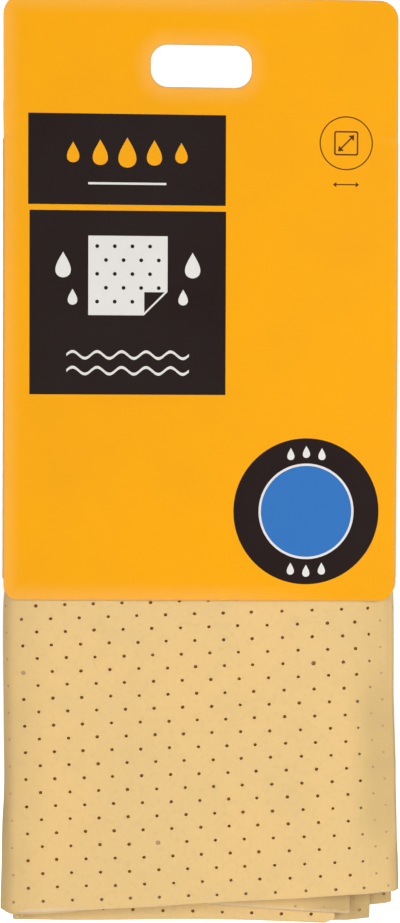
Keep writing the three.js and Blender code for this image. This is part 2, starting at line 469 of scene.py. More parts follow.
@dataclass(frozen=True)
class ChamoisNap(Finish):
    """The soft matt face of the needled cloth, paler and fuzzier along its cut edges.

    Attributes:
        name: Its name.
        colour: The buff of the face.
        cool: Where the face is a little greyer.
        warm: Where it is a little more golden.
        cut: The pale fibres of a cut edge.
        shade_tint: The painted shade on the nap along the folds and the sides.
        turned_share: How light the deeper painted shade of a ply that is turned away is, against the painted
            shade along the folds.
        edge_width: How wide the pale edge is, in millimetres.
        sheen: The strength of the nap's soft reflection at a glance.
    """

    name: str = "chamois_nap"
    colour: Colour = srgb(217, 185, 128)
    cool: Colour = srgb(211, 181, 126)
    warm: Colour = srgb(221, 186, 126)
    cut: Colour = srgb(214, 191, 163)
    # Painted shade for the nap along the folds and the sides.
    shade_tint: Colour = srgb(195, 166, 114)
    turned_share: float = 0.72
    edge_width: float = 0.9
    sheen: float = 0.08

    def look(self, bench: Bench, place: Wire) -> dict[str, object]:
        """A mottled nap with pale and deep tufts; "rubbed" paints shade on it, and "edge" pales it.

        Args:
            bench: Where the nodes go.
            place: The place on the object.

        Returns:
            The values by the inputs' names.
        """
        rubbed, edge = (bench.out("ShaderNodeAttribute", output="Fac", attribute_name=name)
                        for name in ("rubbed", "edge"))
        cloud, patch = bench.noise(place, 28, 4, 0.55), bench.noise(place, 75, 3, 0.6)
        nap, tuft = bench.noise(place, 1500, 6, 0.62), bench.noise(place, 520, 4, 0.6)
        deep = tuple(part * 0.8 for part in self.cool)
        turned = tuple(part * self.turned_share for part in self.shade_tint)
        ragged = edge + bench.ramp(nap, 0.3, 0.7, -0.35 * MM, 0.35 * MM)
        face = self.colour
        for share, colour in ((bench.ramp(cloud, 0.35, 0.7), self.warm),
                              (bench.ramp(patch, 0.45, 0.8, 0.0, 0.6), self.cool),
                              (bench.ramp(nap, 0.52, 0.75, 0.0, 0.16), self.cut),
                              (bench.ramp(tuft, 0.3, 0.5, 0.18, 0.0), deep),
                              # Painted shade: the nap darkens along the folds and sides, and more deeply on
                              # plies that are turned away or lie under the front ply.
                              (rubbed * bench.ramp(patch, 0.3, 0.7, 0.8, 1.0), self.shade_tint),
                              (bench.ramp(rubbed, 1.0, 1.9, 0.0, 1.0), turned),
                              (bench.ramp(ragged, 0.1 * MM, self.edge_width * MM, 0.65, 0.0), self.cut)):
            face = bench.blend(share, face, colour)
        fine = bench.bump(nap, 0.55, 0.10)
        return {"Base Color": face, "Roughness": 0.96, "Specular IOR Level": 0.12,
                "Sheen Weight": self.sheen, "Sheen Roughness": 0.45, "Sheen Tint": self.cut,
                "Normal": bench.bump(patch, 0.35, 0.5, Normal=fine)}


@dataclass(frozen=True)
class PunchedWall(Finish):
    """The fibres inside a punched hole, or on a plug that the punch left in place.

    Attributes:
        colour: The fibres.
        deep: The fibres between them.
    """

    colour: Colour
    deep: Colour

    def look(self, bench: Bench, place: Wire) -> dict[str, object]:
        """Coarse, quite matt fibres.

        Args:
            bench: Where the nodes go.
            place: The place on the object.

        Returns:
            The values by the inputs' names.
        """
        fibre = bench.noise(place, 3200, 4, 0.7)
        return {"Base Color": bench.blend(bench.ramp(fibre, 0.3, 0.7), self.deep, self.colour),
                "Roughness": 1.0, "Specular IOR Level": 0.05, "Normal": bench.bump(fibre, 0.5, 0.05)}


@dataclass(frozen=True)
class FloorFinish(Finish):
    """A pale, matt floor, which glows so that it is as white as the air behind it.

    Attributes:
        name: Its name.
        glow: How strongly it glows where the camera sees it, and behind the pack.
    """

    name: str = "pale_floor"
    glow: float = 0.6

    def look(self, bench: Bench, place: Wire) -> dict[str, object]:
        """A slightly mottled white.

        Args:
            bench: Where the nodes go.
            place: The place on the object.

        Returns:
            The values by the inputs' names.
        """
        mottle = bench.ramp(bench.noise(place, 3, 2), 0.3, 0.7)
        seen = bench.out("ShaderNodeLightPath", output="Is Camera Ray")
        glow = bench.sum("MAXIMUM", bench.ramp(bench.parts(place)[1], 0.1, 0.6), seen)
        return {"Base Color": bench.blend(mottle, (0.9, 0.9, 0.895), (0.88, 0.88, 0.875)),
                "Roughness": 0.9, "Emission Color": (1, 1, 1), "Emission Strength": glow * self.glow}


class Outlines:
    """Closed outlines, anticlockwise, in millimetres."""

    @staticmethod
    def rounded(left: float, right: float, low: float, high: float, radius: float,
                steps: int = 10) -> Loop:
        """A rectangle with round corners.

        Args:
            left: Its left side.
            right: Its right side.
            low: Its lower side.
            high: Its upper side.
            radius: Its corners' radius.
            steps: The steps of one corner.

        Returns:
            Its points.
        """
        points = []
        corners = ((right - radius, low + radius, -90), (right - radius, high - radius, 0),
                   (left + radius, high - radius, 90), (left + radius, low + radius, 180))
        for x, z, start in corners:
            for step in range(steps + 1):
                angle = math.radians(start + 90 * step / steps)
                points.append((x + radius * math.cos(angle), z + radius * math.sin(angle)))
        return np.array(points)

    @staticmethod
    def box(left: float, right: float, low: float, high: float) -> Loop:
        """A plain rectangle."""
        return np.array([(left, low), (right, low), (right, high), (left, high)])

    @staticmethod
    def circle(x: float, z: float, radius: float, steps: int = 64) -> Loop:
        """A circle round a middle."""
        turn = np.arange(steps) * 2 * math.pi / steps
        return np.stack([x + radius * np.cos(turn), z + radius * np.sin(turn)], 1)

    @staticmethod
    def drop(x: float, z: float, height: float, steps: int = 28) -> Loop:
        """A drop of water that hangs point up.

        Args:
            x: Its middle across.
            z: Its middle up.
            height: Its height.
            steps: How many sides stand for it.

        Returns:
            Its points.
        """
        turn = np.arange(steps) * 2 * math.pi / steps
        width = np.sin(turn) * np.sin(turn / 2) ** 1.4
        return np.stack([x - width * height * 0.42, z + np.cos(turn) * height / 2], 1)

    @staticmethod
    def wave(left: float, right: float, z: float, swing: float, waves: int, line: float,
             steps: int = 12) -> Loop:
        """A band that waves up and down.

        Args:
            left: Its left end.
            right: Its right end.
            z: Its middle up.
            swing: How far it rises and falls.
            waves: How many waves it has.
            line: How wide the band is.
            steps: The steps of one wave.

        Returns:
            Its points.
        """
        share = np.linspace(0, 1, waves * steps + 1)
        x, rise = left + (right - left) * share, z + swing * np.sin(share * waves * 2 * math.pi)
        return np.concatenate([np.stack([x, rise - line / 2], 1), np.stack([x, rise + line / 2], 1)[::-1]])


def inside(loop: Loop, points: np.ndarray) -> np.ndarray:
    """Which points lie inside an outline.

    Args:
        loop: The outline.
        points: The points to test.

    Returns:
        True for each point inside.
    """
    x, z = points[:, 0], points[:, 1]
    found = np.zeros(len(points), bool)
    for (x0, z0), (x1, z1) in zip(loop, np.roll(loop, -1, 0)):
        if z0 != z1:
            found ^= ((z0 > z) != (z1 > z)) & (x < (x1 - x0) * (z - z0) / (z1 - z0) + x0)
    return found


class Ink(Enum):
    """The finishes of the sleeve, in the order of its material slots."""

    GROUND = 0
    BLACK = 1
    PAPER_WHITE = 2
    BLUE = 3
    LINE_BROWN = 4
    BARE = 5


Marks = list[tuple[Loop, Ink]]


@dataclass
class PrintedFace:
    """The marks printed on the front panel, in the order they are printed. All lengths in millimetres.

    Attributes:
        panels: The two black panels, each left, right, low and high.
        roundel: The middle of the round mark.
        roundel_radii: Its black rim, its white ring and its blue disc.
        roundel_marks: How far from its middle the small drops stand.
        badge: The middle of the thin ring in the upper right.
        badge_radius: The ring's radius at the middle of its line.
        badge_line: The width of that line.
        drop_pitch: From one of the upper panel's drops to the next.
        cloth_half: Half the side of the lower panel's cloth.
        cloth_turned: How much of its corner is folded over.
        hole_pitch: From hole to hole in that cloth, across and down.
        tick_pitch: From one of the roundel's small drops to the next, in degrees.
    """

    panels: tuple[tuple[float, float, float, float], ...] = (
        (-54.88, 7.93, -44.1, -15.3), (-54.43, 8.06, -104.36, -45.92))
    roundel: tuple[float, float] = (34.22, -141.57)
    roundel_radii: tuple[float, float, float] = (23.46, 15.35, 14.62)
    roundel_marks: float = 18.8
    badge: tuple[float, float] = (46.52, -23.69)
    badge_radius: float = 8.4
    badge_line: float = 0.4
    drop_pitch: float = 8.6
    cloth_half: float = 12.6
    cloth_turned: float = 7.5
    hole_pitch: tuple[float, float] = (5.6, 4.4)
    tick_pitch: float = 15.5

    def marks(self) -> Marks:
        """Every mark with its ink; later ones are printed over earlier ones."""
        return [*((Outlines.box(*panel), Ink.BLACK) for panel in self.panels), *self.upper_sign(),
                *self.lower_sign(), *self.round_mark(), *self.size_badge()]

    def upper_sign(self) -> Marks:
        """Five drops over a short rule, in the upper panel.

        Returns:
            The marks with their inks.
        """
        left, right, low, high = self.panels[0]
        middle, rise = (left + right) / 2, (low + high) / 2 + 2.2
        drops = [(Outlines.drop(middle + place * self.drop_pitch, rise, 9.6 - 1.5 * abs(place)), Ink.GROUND)
                 for place in (-2, -1, 0, 1, 2)]
        rule = Outlines.box(middle - 12.4, middle + 12.4, low + 6.4, low + 7.1)
        return [*drops, (rule, Ink.PAPER_WHITE)]

    def lower_sign(self) -> Marks:
        """A folded, punched cloth between drops and over two waves of water, in the lower panel.

        Returns:
            The marks with their inks.
        """
        left, right, low, high = self.panels[1]
        middle, rise = (left + right) / 2, high - 20.6
        half, turned = self.cloth_half, self.cloth_turned
        cloth = np.array([(-half, -half), (half - turned, -half), (half, turned - half), (half, half),
                          (-half, half)])
        flap = np.array([(half - turned + 0.1, 0.9 - half), (half - 0.9, turned - half - 0.1),
                         (half - turned + 0.1, turned - half - 0.1)])
        found = [(cloth + (middle, rise), Ink.PAPER_WHITE), (flap + (middle, rise), Ink.BLACK)]
        across, down = self.hole_pitch
        for row in range(5):
            for column in range(4):
                x = 2.8 - half + column * across + across / 2 * (row % 2)
                z = half - 3.3 - row * down
                if x < half - 2 and x - z < 2 * half - turned - 2.6:
                    found.append((Outlines.circle(middle + x, rise + z, 0.62, 16), Ink.BLACK))
        for way in (-1, 1):
            for out, up, size in ((8, 3.4, 8.2), (5, -6.8, 8.2 * 0.62)):
                found.append((Outlines.drop(middle + way * (half + out), rise + up, size), Ink.PAPER_WHITE))
        for z in (low + 12.6, low + 7.6):
            found.append((Outlines.wave(middle - 19.5, middle + 19.5, z, 1.1, 5, 0.9), Ink.PAPER_WHITE))
        return found

    def round_mark(self) -> Marks:
        """The black, white and blue roundel with three small drops above and below its disc.

        Returns:
            The marks with their inks.
        """
        x, z = self.roundel
        found = [(Outlines.circle(x, z, radius, 120), ink)
                 for radius, ink in zip(self.roundel_radii, (Ink.BLACK, Ink.PAPER_WHITE, Ink.BLUE))]
        for way in (1, -1):
            for step in (-1, 0, 1):
                lean = math.radians(self.tick_pitch * step)
                across = self.roundel_marks * math.sin(lean)
                up = way * (self.roundel_marks + 0.3) * math.cos(lean)
                found.append((Outlines.drop(x + across, z + up, 3.9, 20), Ink.PAPER_WHITE))
        return found

    def size_badge(self) -> Marks:
        """A thin ring round a small square with an arrow across it, and a two-headed arrow below.

        Returns:
            The marks with their inks.
        """
        x, z = self.badge
        line, reach = self.badge_line / 2, self.badge_radius
        found = [(Outlines.circle(x, z, reach + line, 80), Ink.LINE_BROWN),
                 (Outlines.circle(x, z, reach - line, 80), Ink.GROUND),
                 (Outlines.rounded(x - 3.9, x + 3.9, z - 3.9, z + 3.9, 0.7, 4), Ink.LINE_BROWN),
                 (Outlines.rounded(x - 3.4, x + 3.4, z - 3.4, z + 3.4, 0.4, 4), Ink.GROUND)]
        for middle, reach, head, thin, turn in (((x, z), 3.7, 1.5, 0.5, 45),
                                                ((x, z - 13.2), 4.2, 1.1, 0.4, 0)):
            upper = [(reach, 0), (reach - head, head * 0.8), (reach - head, thin / 2),
                     (head - reach, thin / 2), (head - reach, head * 0.8)]
            arrow = np.array([*upper, *((-a, -b) for a, b in upper)])
            cos, sin = math.cos(math.radians(turn)), math.sin(math.radians(turn))
            found.append((arrow @ np.array([(cos, sin), (-sin, cos)]) + middle, Ink.LINE_BROWN))
        return found


@dataclass
class CardSleeve:
    """The sleeve, made as it really is: one flat blank of board, cut, printed, creased and folded.

    A place on the flat blank is (girth, height): girth runs to the right from the front panel's middle, and
    height is the level the place has before the back panel's top is folded forward. Millimetres.

    Attributes:
        board: The board's thickness.
        width: From side to side.
        mouth: The level of the mouth, where the cloth comes out.
        shoulder: The level where the tube ends and the header starts.
        top: The card's upper edge.
        lean_top: Where the leaning back panel meets the header.
        front: The depth of the front panel's middle.
        back: The depth of the back panel's middle.
        header_back: The depth of the back panel's middle where it stands behind the header.
        flap: How far to the right the glue flap's middle stands.
        crease: The radius of a crease.
        header_inset: How much the header is cut in on either side.
        corner: The radius of the header's corners.
        wall_lift: How far the side walls' edges stand above the mouth.
        left_cut: The mouth's cut on the left, as inset and rise from the side down to the bottom.
        right_cut: The same on the right.
        mouth_skew: How far the mouth's edge falls to the right and rises to the left.
        flap_setback: How far the glue flap ends behind the front panel.
        slot: The hanging slot's left, right, low and high.
        slot_corner: The radius of its corners.
        trim: How much the cut edges are rounded off.
        bow: How far the front panel bulges.
        back_bow: How far the back panel bulges.
        wall_share: How much of the left crease's shift the left wall's back edge shares.
        left_settle: The left crease's shift to the right, by level.
        right_settle: The right crease's shift to the right, by level.
        grid: The mesh's spacing.
        crease_steps: The steps of one crease.
        sharp_angle: The angle past which an edge is shaded sharp, in degrees.
        print: The marks.
    """

    board: float = 0.4
    width: float = 126.4
    mouth: float = -170.2
    shoulder: float = -23.2
    top: float = 21.9
    lean_top: float = -9.5
    front: float = -0.3
    back: float = 9.9
    header_back: float = 0.3
    flap: float = 62.4
    crease: float = 0.4
    header_inset: float = 0.15
    corner: float = 6.2
    wall_lift: float = 7.1
    left_cut: tuple[tuple[float, float], ...] = (
        (0, 7.1), (0.05, 5.9), (0.1, 4.6), (0.3, 3.4), (1.15, 1.9), (2.4, 0.7), (3.7, 0.12), (4.7, 0))
    right_cut: tuple[tuple[float, float], ...] = (
        (0, 7.1), (0.1, 5.0), (0.7, 3.2), (2.5, 1.2), (3.6, 0.12), (4.2, 0))
    mouth_skew: float = 0.32
    flap_setback: float = 1.1
    slot: tuple[float, float, float, float] = (-16.1, 16.1, -6.55, 6.85)
    slot_corner: float = 5.4
    trim: float = 0.1
    bow: float = 0.3
    back_bow: float = 0.5
    wall_share: float = 0.45
    left_settle: Table = ((-170, -158, -110, -75, -40, -15, 22), (0.4, 0.48, 0.6, 0.66, 0.6, 0.4, 0.3))
    right_settle: Table = ((-170, -140, -80, -20, 22), (0.33, 0.36, 0.42, 0.25, 0.1))
    grid: float = 3.2
    crease_steps: int = 5
    sharp_angle: float = 35.0
    print: PrintedFace = field(default_factory=PrintedFace)

    def __post_init__(self) -> None:
        """Works out where the panels end on the flat blank."""
        self.flat_half = self.width / 2 - self.board / 2 - self.crease
        self.bend = self.crease * math.pi / 2
        self.wall_start = self.flat_half + self.bend
        self.right_end = self.wall_start + self.back - self.front - self.crease - self.board / 2 - 0.1
        self.left_wall_end = -self.wall_start - (self.back - self.front - 2 * self.crease)
        self.back_start = self.left_wall_end - self.bend
        self.back_length = self.flap - self.crease + self.flat_half
        self.back_end = self.back_start - self.back_length
        self.flap_start = self.back_end - self.bend
        self.flap_end = self.flap_start - (self.back - self.crease - 0.1 - self.front - self.flap_setback)
        run, rise = self.back - self.header_back, self.lean_top - self.shoulder
        self.lean_angle = math.atan2(run, rise)
        reach = self.crease * math.tan(self.lean_angle / 2)
        turn = self.crease * self.lean_angle
        straight = math.hypot(run, rise) - 2 * reach
        self.lean_marks = np.cumsum([self.shoulder - reach, turn, straight, turn])
        self.back_slot = self.lean_marks[3] - (self.lean_top + reach)
        self.back_top = self.lean_marks[3] + self.top - (self.lean_top + reach)

    def profile(self, height: np.ndarray) -> tuple[np.ndarray, np.ndarray, np.ndarray]:
        """The back panel's fold forward and up again.

        Args:
            height: Heights on the flat blank.

        Returns:
            The depth, the level and the forward lean at each height.
        """
        marks, angle = self.lean_marks, self.lean_angle
        low, along, high = (np.clip(height - start, 0, end - start) for start, end in zip(marks, marks[1:]))
        low, high = low / self.crease, high / self.crease
        depth = self.back - self.crease * (1 - np.cos(low)) - along * math.sin(angle)
        depth -= self.crease * (np.cos(angle - high) - math.cos(angle))
        level = np.minimum(height, marks[0]) + self.crease * np.sin(low) + along * math.cos(angle)
        level += self.crease * (math.sin(angle) - np.sin(angle - high))
        level += np.maximum(height - marks[3], 0)
        return depth, level, low - high

    def folded(self, places: np.ndarray) -> tuple[np.ndarray, np.ndarray]:
        """Where places on the flat blank's middle end up, and the way its printed side faces there.

        Args:
            places: Girths and heights.

        Returns:
            The points and the facings.
        """
        girth, height = places[:, 0], places[:, 1]
        point, facing = np.zeros((len(places), 3)), np.zeros((len(places), 3))
        bent = np.clip(1 - smooth(self.shoulder, self.shoulder + 2.5, height), 1e-4, 1)
        side, near, far = self.flat_half + self.crease, self.front + self.crease, self.back - self.crease
        wall, hair = self.wall_start, 1e-6
        # Right wall, left wall and glue flap
        for on, x, y, way in ((girth >= wall + hair, side, near + girth - wall, 1),
                              ((girth <= -wall - hair) & (girth > self.left_wall_end), -side,
                               near - girth - wall, -1),
                              (girth < self.flap_start, self.flap, far - (self.flap_start - girth), 1)):
            point[on] = np.stack([np.full(on.sum(), x), y[on], height[on]], 1)
            facing[on] = (way, 0, 0)
        # Front panel with its two corners
        on = (girth > -wall - hair) & (girth < wall + hair)
        g, b = girth[on], bent[on]
        angle = np.maximum(np.abs(g) - self.flat_half, 0) * b / self.crease
        x = np.sign(g) * (np.minimum(np.abs(g), self.flat_half) + np.sin(angle) * self.crease / b)
        rise = smooth(self.shoulder + 12, self.mouth + 40, height[on]) * 0.75
        rise += smooth(self.mouth + 60, self.mouth, height[on]) * 0.25
        y = self.front + (1 - np.cos(angle)) * self.crease / b
        y -= self.bow * rise * np.clip(1 - (x / self.flat_half) ** 2, 0, 1)
        point[on] = np.stack([x, y, height[on]], 1)
        facing[on] = np.stack([np.sign(g) * np.sin(angle), -np.cos(angle), angle * 0], 1)
        # Back panel with its two corners, folded forward at its top
        on = (girth <= self.left_wall_end) & (girth >= self.flap_start)
        g, b = girth[on], bent[on]
        over = np.maximum(g - self.back_start, 0)
        angle = (over + np.maximum(self.back_end - g, 0)) * b / self.crease
        way = np.where(over > 0, -1.0, 1.0)
        flat = np.clip(self.back_start - g, 0, self.back_length) - self.flat_half
        x = flat + way * np.sin(angle) * self.crease / b
        middle = (self.flap - self.crease - self.flat_half) / 2
        share = np.clip(1 - ((x - middle) / self.flat_half) ** 2, 0, 1)
        puff = self.back_bow * share * smooth(self.shoulder - 2, self.shoulder - 40, height[on])
        puff -= (1 - np.cos(angle)) * self.crease / b
        depth, level, lean = self.profile(height[on])
        out_y, out_z = np.cos(lean), np.sin(lean)
        point[on] = np.stack([x, depth + puff * out_y, level + puff * out_z], 1)
        facing[on] = np.stack([way * np.sin(angle), np.cos(angle) * out_y, np.cos(angle) * out_z], 1)
        # The front creases sit a little to the right of true, more so at mid height, with the left wall
        x, nearness = point[:, 0], smooth(2.4, 0.4, point[:, 1])
        edge = self.flat_half - 0.5
        left = np.interp(point[:, 2], *self.left_settle) * smooth(6.5 - edge, -edge, x)
        right = np.interp(point[:, 2], *self.right_settle) * smooth(edge - 4.5, edge, x)
        point[:, 0] += left * (self.wall_share + (1 - self.wall_share) * nearness) + right * nearness
        return point, facing

    def blank(self) -> Loop:
        """The outline that the blank is cut to, anticlockwise.

        Returns:
            Its points.
        """
        edge = self.flat_half + self.crease + self.board / 2 - self.header_inset
        lift = self.mouth + self.wall_lift
        back_left = self.back_start + edge - self.flat_half
        back_right = self.back_end - (edge - self.flat_half)
        turn = np.linspace(0, math.pi / 2, 9)

        def corners(left: float, right: float, z: float) -> list[tuple[float, float]]:
            """The two round corners of a panel's top, from right to left.

            Args:
                left: The panel's left side.
                right: Its right side.
                z: Its top.

            Returns:
                Their points.
            """
            return [(x - way * self.corner + self.corner * math.cos(start + a),
                     z - self.corner + self.corner * math.sin(start + a))
                    for x, way, start in ((right, 1, 0), (left, -1, math.pi / 2)) for a in turn]

        def mouth_cut(x: float, way: float, cut: tuple, skew: float = 0.0) -> list[tuple[float, float]]:
            """One corner of the mouth, from the side down to the bottom, with its kinks eased.

            Args:
                x: The panel's side.
                way: 1 on the right side, -1 on the left one.
                cut: The corner's points, as insets and rises.
                skew: How far the mouth slopes.

            Returns:
                Its points.
            """
            line = np.array(cut, float)
            for _ in range(2):
                eased = np.stack([line[:-1] * 0.75 + line[1:] * 0.25, line[:-1] * 0.25 + line[1:] * 0.75], 1)
                line = np.concatenate([line[:1], eased.reshape(-1, 2), line[-1:]])
            return [(x - way * inset, self.mouth + rise - skew * way * (1 - rise / self.wall_lift))
                    for inset, rise in line]

        return np.array([
            *reversed(mouth_cut(edge, 1, self.right_cut, self.mouth_skew)),
            (self.right_end - 0.8, lift + 0.2), (self.right_end, lift + 1.0),
            (self.right_end, self.shoulder - 1.6), (self.right_end - 1.2, self.shoulder),
            (edge, self.shoulder), *corners(-edge, edge, self.top), (-edge, self.shoulder),
            (back_left, self.shoulder), *corners(back_right, back_left, self.back_top),
            (back_right, self.shoulder), (self.flap_end + 1.2, self.shoulder - 0.4),
            (self.flap_end, self.shoulder - 2.5), (self.flap_end, lift + 2.5),
            (self.flap_end + 1.2, lift + 0.4),
            *mouth_cut(back_right, -1, self.right_cut), *reversed(mouth_cut(back_left, 1, self.left_cut)),
            *mouth_cut(-edge, -1, self.left_cut, self.mouth_skew)])

    def trimmed(self, loop: Loop, by: float) -> Loop:
        """An outline drawn in on itself.

        Args:
            loop: The outline, anticlockwise.
            by: How far it is drawn in; a hole's outline takes a distance below 0.

        Returns:
            The new outline, point for point.
        """
        before, after = unit(loop - np.roll(loop, 1, 0)), unit(np.roll(loop, -1, 0) - loop)
        inward, square = (np.stack([-way[:, 1], way[:, 0]], 1) for way in (unit(before + after), after))
        return loop + inward * (by / np.clip((inward * square).sum(1, keepdims=True), 0.5, 1))

    def cuts(self) -> list[Loop]:
        """The outlines that the knife follows, drawn in by the rounding of the cut edges.

        Returns:
            The blank's outline and those of its two slots.
        """
        slot = Outlines.rounded(*self.slot, self.slot_corner)
        back_slot = slot + (self.back_start - self.flat_half, self.back_slot)
        return [self.trimmed(self.split(loop), by) for loop, by in
                ((self.blank(), self.trim), (slot, -self.trim), (back_slot, -self.trim))]

    def split(self, loop: Loop) -> Loop:
        """An outline with its long sides divided at about the grid's spacing.

        Args:
            loop: The outline.

        Returns:
            The outline with more points.
        """
        points = []
        for start, end in zip(loop, np.roll(loop, -1, 0)):
            length = float(np.linalg.norm(end - start))
            if length >= 1e-6:
                parts = max(1, round(length / self.grid))
                points.extend(start + (end - start) * step / parts for step in range(parts))
        return np.array(points)

    def crease_lines(self) -> list[np.ndarray]:
        """Lines along each crease, close enough together to bend on.

        Returns:
            Open lines of points.
        """
        lines = []
        steps = range(self.crease_steps + 1)
        low = self.mouth + self.wall_lift + 0.3
        up = np.linspace(low, self.shoulder - 0.3, int((self.shoulder - low) / self.grid) + 1)
        for start in (self.flat_half, -self.wall_start, self.back_start, self.flap_start):
            for step in steps:
                girth = start + self.bend * step / self.crease_steps
                lines.append(np.stack([np.full(len(up), girth), up], 1))
        left, right = self.back_end + 0.2, self.back_start - 0.2
        across = np.linspace(left, right, int((right - left) / self.grid) + 1)
        for start in (self.lean_marks[0], self.lean_marks[2]):
            end = start + self.crease * self.lean_angle
            for step in steps:
                height = start + (end - start) * step / self.crease_steps
                lines.append(np.stack([across, np.full(len(across), height)], 1))
        for height in np.linspace(self.shoulder + 0.3, self.shoulder + 2.5, 5):
            lines.append(np.array([(-self.flat_half, height), (self.flat_half, height)]))
        return lines

    def triangles(self) -> tuple[np.ndarray, np.ndarray, np.ndarray]:
        """Divides the flat blank into triangles that follow its outlines, creases and print.

        Returns:
            The places, the triangles and each triangle's ink.
        """
        cuts, marks = self.cuts(), self.print.marks()
        places: list[np.ndarray] = []
        edges: list[tuple[int, int]] = []
        count = 0
        for lines, open_ends in (([*cuts, *(loop for loop, _ in marks)], 0), (self.crease_lines(), 1)):
            for line in lines:
                size = len(line)
                places.append(line)
                edges += [(count + i, count + (i + 1) % size) for i in range(size - open_ends)]
                count += size
        low, high = cuts[0].min(0), cuts[0].max(0)
        across, up = (np.arange(low[axis] + self.grid / 2, high[axis], self.grid) for axis in (0, 1))
        dots = np.stack(np.meshgrid(across, up), -1).reshape(-1, 2)
        dots[:, 0] += np.where(np.arange(len(dots)) // len(across) % 2, 0.0, self.grid / 2)
        places.append(dots[inside(cuts[0], dots)])
        made = delaunay_2d_cdt([Vector(place) for place in np.concatenate(places)], edges, [], 0, 1e-5)
        spots = np.array([tuple(v) for v in made[0]])
        faces = np.array([f for f in made[2] if len(f) == 3])
        middle = spots[faces].mean(1)
        kept = inside(cuts[0], middle) & ~inside(cuts[1], middle) & ~inside(cuts[2], middle)
        faces, middle = faces[kept], middle[kept]
        first, second = (spots[faces[:, corner]] - spots[faces[:, 0]] for corner in (1, 2))
        turned = first[:, 0] * second[:, 1] - first[:, 1] * second[:, 0] < 0
        faces[turned] = faces[turned][:, ::-1]
        inks = np.zeros(len(faces), int)
        for loop, ink in marks:
            inks[inside(loop, middle)] = ink.value
        return spots, faces, inks

    def build(self) -> bpy.types.Object:
        """Makes the sleeve's mesh with its printed face, bare inside and rounded cut edges.

        Returns:
            The piece.
        """
        spots, faces, inks = self.triangles()
        used, faces = np.unique(faces, return_inverse=True)
        spots, faces = spots[used], faces.reshape(-1, 3)
        count, half = len(spots), self.board / 2
        point, facing = self.folded(spots)
        pairs = {(a, b) for i in range(3) for a, b in faces[:, [i, (i + 1) % 3]].tolist()}
        rim = sorted((a, b) for a, b in pairs if (b, a) not in pairs)
        following, leading = dict(rim), {b: a for a, b in rim}
        rim_spots = sorted(following)
        before, after = (spots[[ends[i] for i in rim_spots]] for ends in (leading, following))
        way = unit(unit(spots[rim_spots] - before) + unit(after - spots[rim_spots]))
        out = spots[rim_spots] + np.stack([way[:, 1], -way[:, 0]], 1) * self.trim
        rim_point, rim_facing = self.folded(out)
        step = rim_facing * (half - self.trim)
        rows = np.concatenate([point + facing * half, point - facing * half,
                               rim_point + step, rim_point - step])
        number = {spot: 2 * count + index for index, spot in enumerate(rim_spots)}
        quads: list[tuple[int, ...]] = []
        for a, b in rim:
            near, far, low_near, low_far = (number[spot] + lower for lower in (0, len(rim_spots))
                                             for spot in (a, b))
            quads += [(b, a, near, far), (far, near, low_near, low_far),
                      (low_far, low_near, a + count, b + count)]
        mesh = bpy.data.meshes.new("sleeve")
        mesh.from_pydata((rows * MM).tolist(), [],
                         [*faces.tolist(), *(faces[:, ::-1] + count).tolist(), *quads])
        mesh.validate()
        bare = Ink.BARE.value
        mesh.polygons.foreach_set("material_index", [*inks.tolist(), *[bare] * len(faces),
                                                     *[0, bare, bare] * len(rim)])
        mesh.polygons.foreach_set("use_smooth", [True] * len(mesh.polygons))
        mesh.set_sharp_from_angle(angle=math.radians(self.sharp_angle))
        for finish in self.finishes():
            mesh.materials.append(finish.build())
        return linked("printed_sleeve", mesh)

    def finishes(self) -> list[Finish]:
        """Lists the sleeve's finishes.

        Returns:
            The finishes, in the order of Ink.
        """
        # The tan of the edge band, partly pressed varnish and partly painted shade, and also of the specks.
        worn_and_shaded = srgb(206, 154, 88)
        return [BoardInk("orange_ink", (0.826, 0.35, 0.0026), worn_and_shaded),
                BoardInk("black_ink", (0.0145, 0.0075, 0.0066), srgb(92, 76, 64), 0.5),
                BoardInk("white_ink", (0.69, 0.67, 0.645), srgb(222, 212, 192)),
                BoardInk("blue_ink", (0.0304, 0.156, 0.451), srgb(120, 150, 190)),
                BoardInk("brown_ink", srgb(88, 48, 14), worn_and_shaded),
                BareBoard()]

    def dress(self) -> bpy.types.Object:
        """Builds the sleeve and puts it in the solid's place.

        Returns:
            The piece.
        """
        piece = self.build()
        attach(piece, "sleeve")
        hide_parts("card_sleeve")
        return piece


@dataclass
class PaperGlue:
    """The two films of glue, which keep their solids and get their finish.

    Attributes:
        nodes: The names of their nodes in the frame.
    """

    nodes: tuple[str, ...] = ("header_glue", "side_seam_glue")

    def dress(self) -> list[bpy.types.Object]:
        """Gives the films their finish.

        Returns:
            The pieces.
        """
        finish = DriedGlue().build()
        pieces = [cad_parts[name] for name in self.nodes]
        for piece in pieces:
            for slot in piece.material_slots:
                slot.material = finish
        return pieces


ODD_HOLES = ("First plug", "Second plug", "Wide hole")
SHARED_INPUTS = {"Float": ("Row pitch", "Hole radius", "Scatter"), "Vector": ODD_HOLES,
                 "Int": ("Hole sides", "Seed"), "Material": ("Hole finish", "Plug finish")}
PATCH_LENGTHS = ("Depth", "Column pitch", "Widening", "Narrowing", "Sink", "Start girth", "Start drop",
                 "Low girth", "Low drop", "High girth", "High drop")


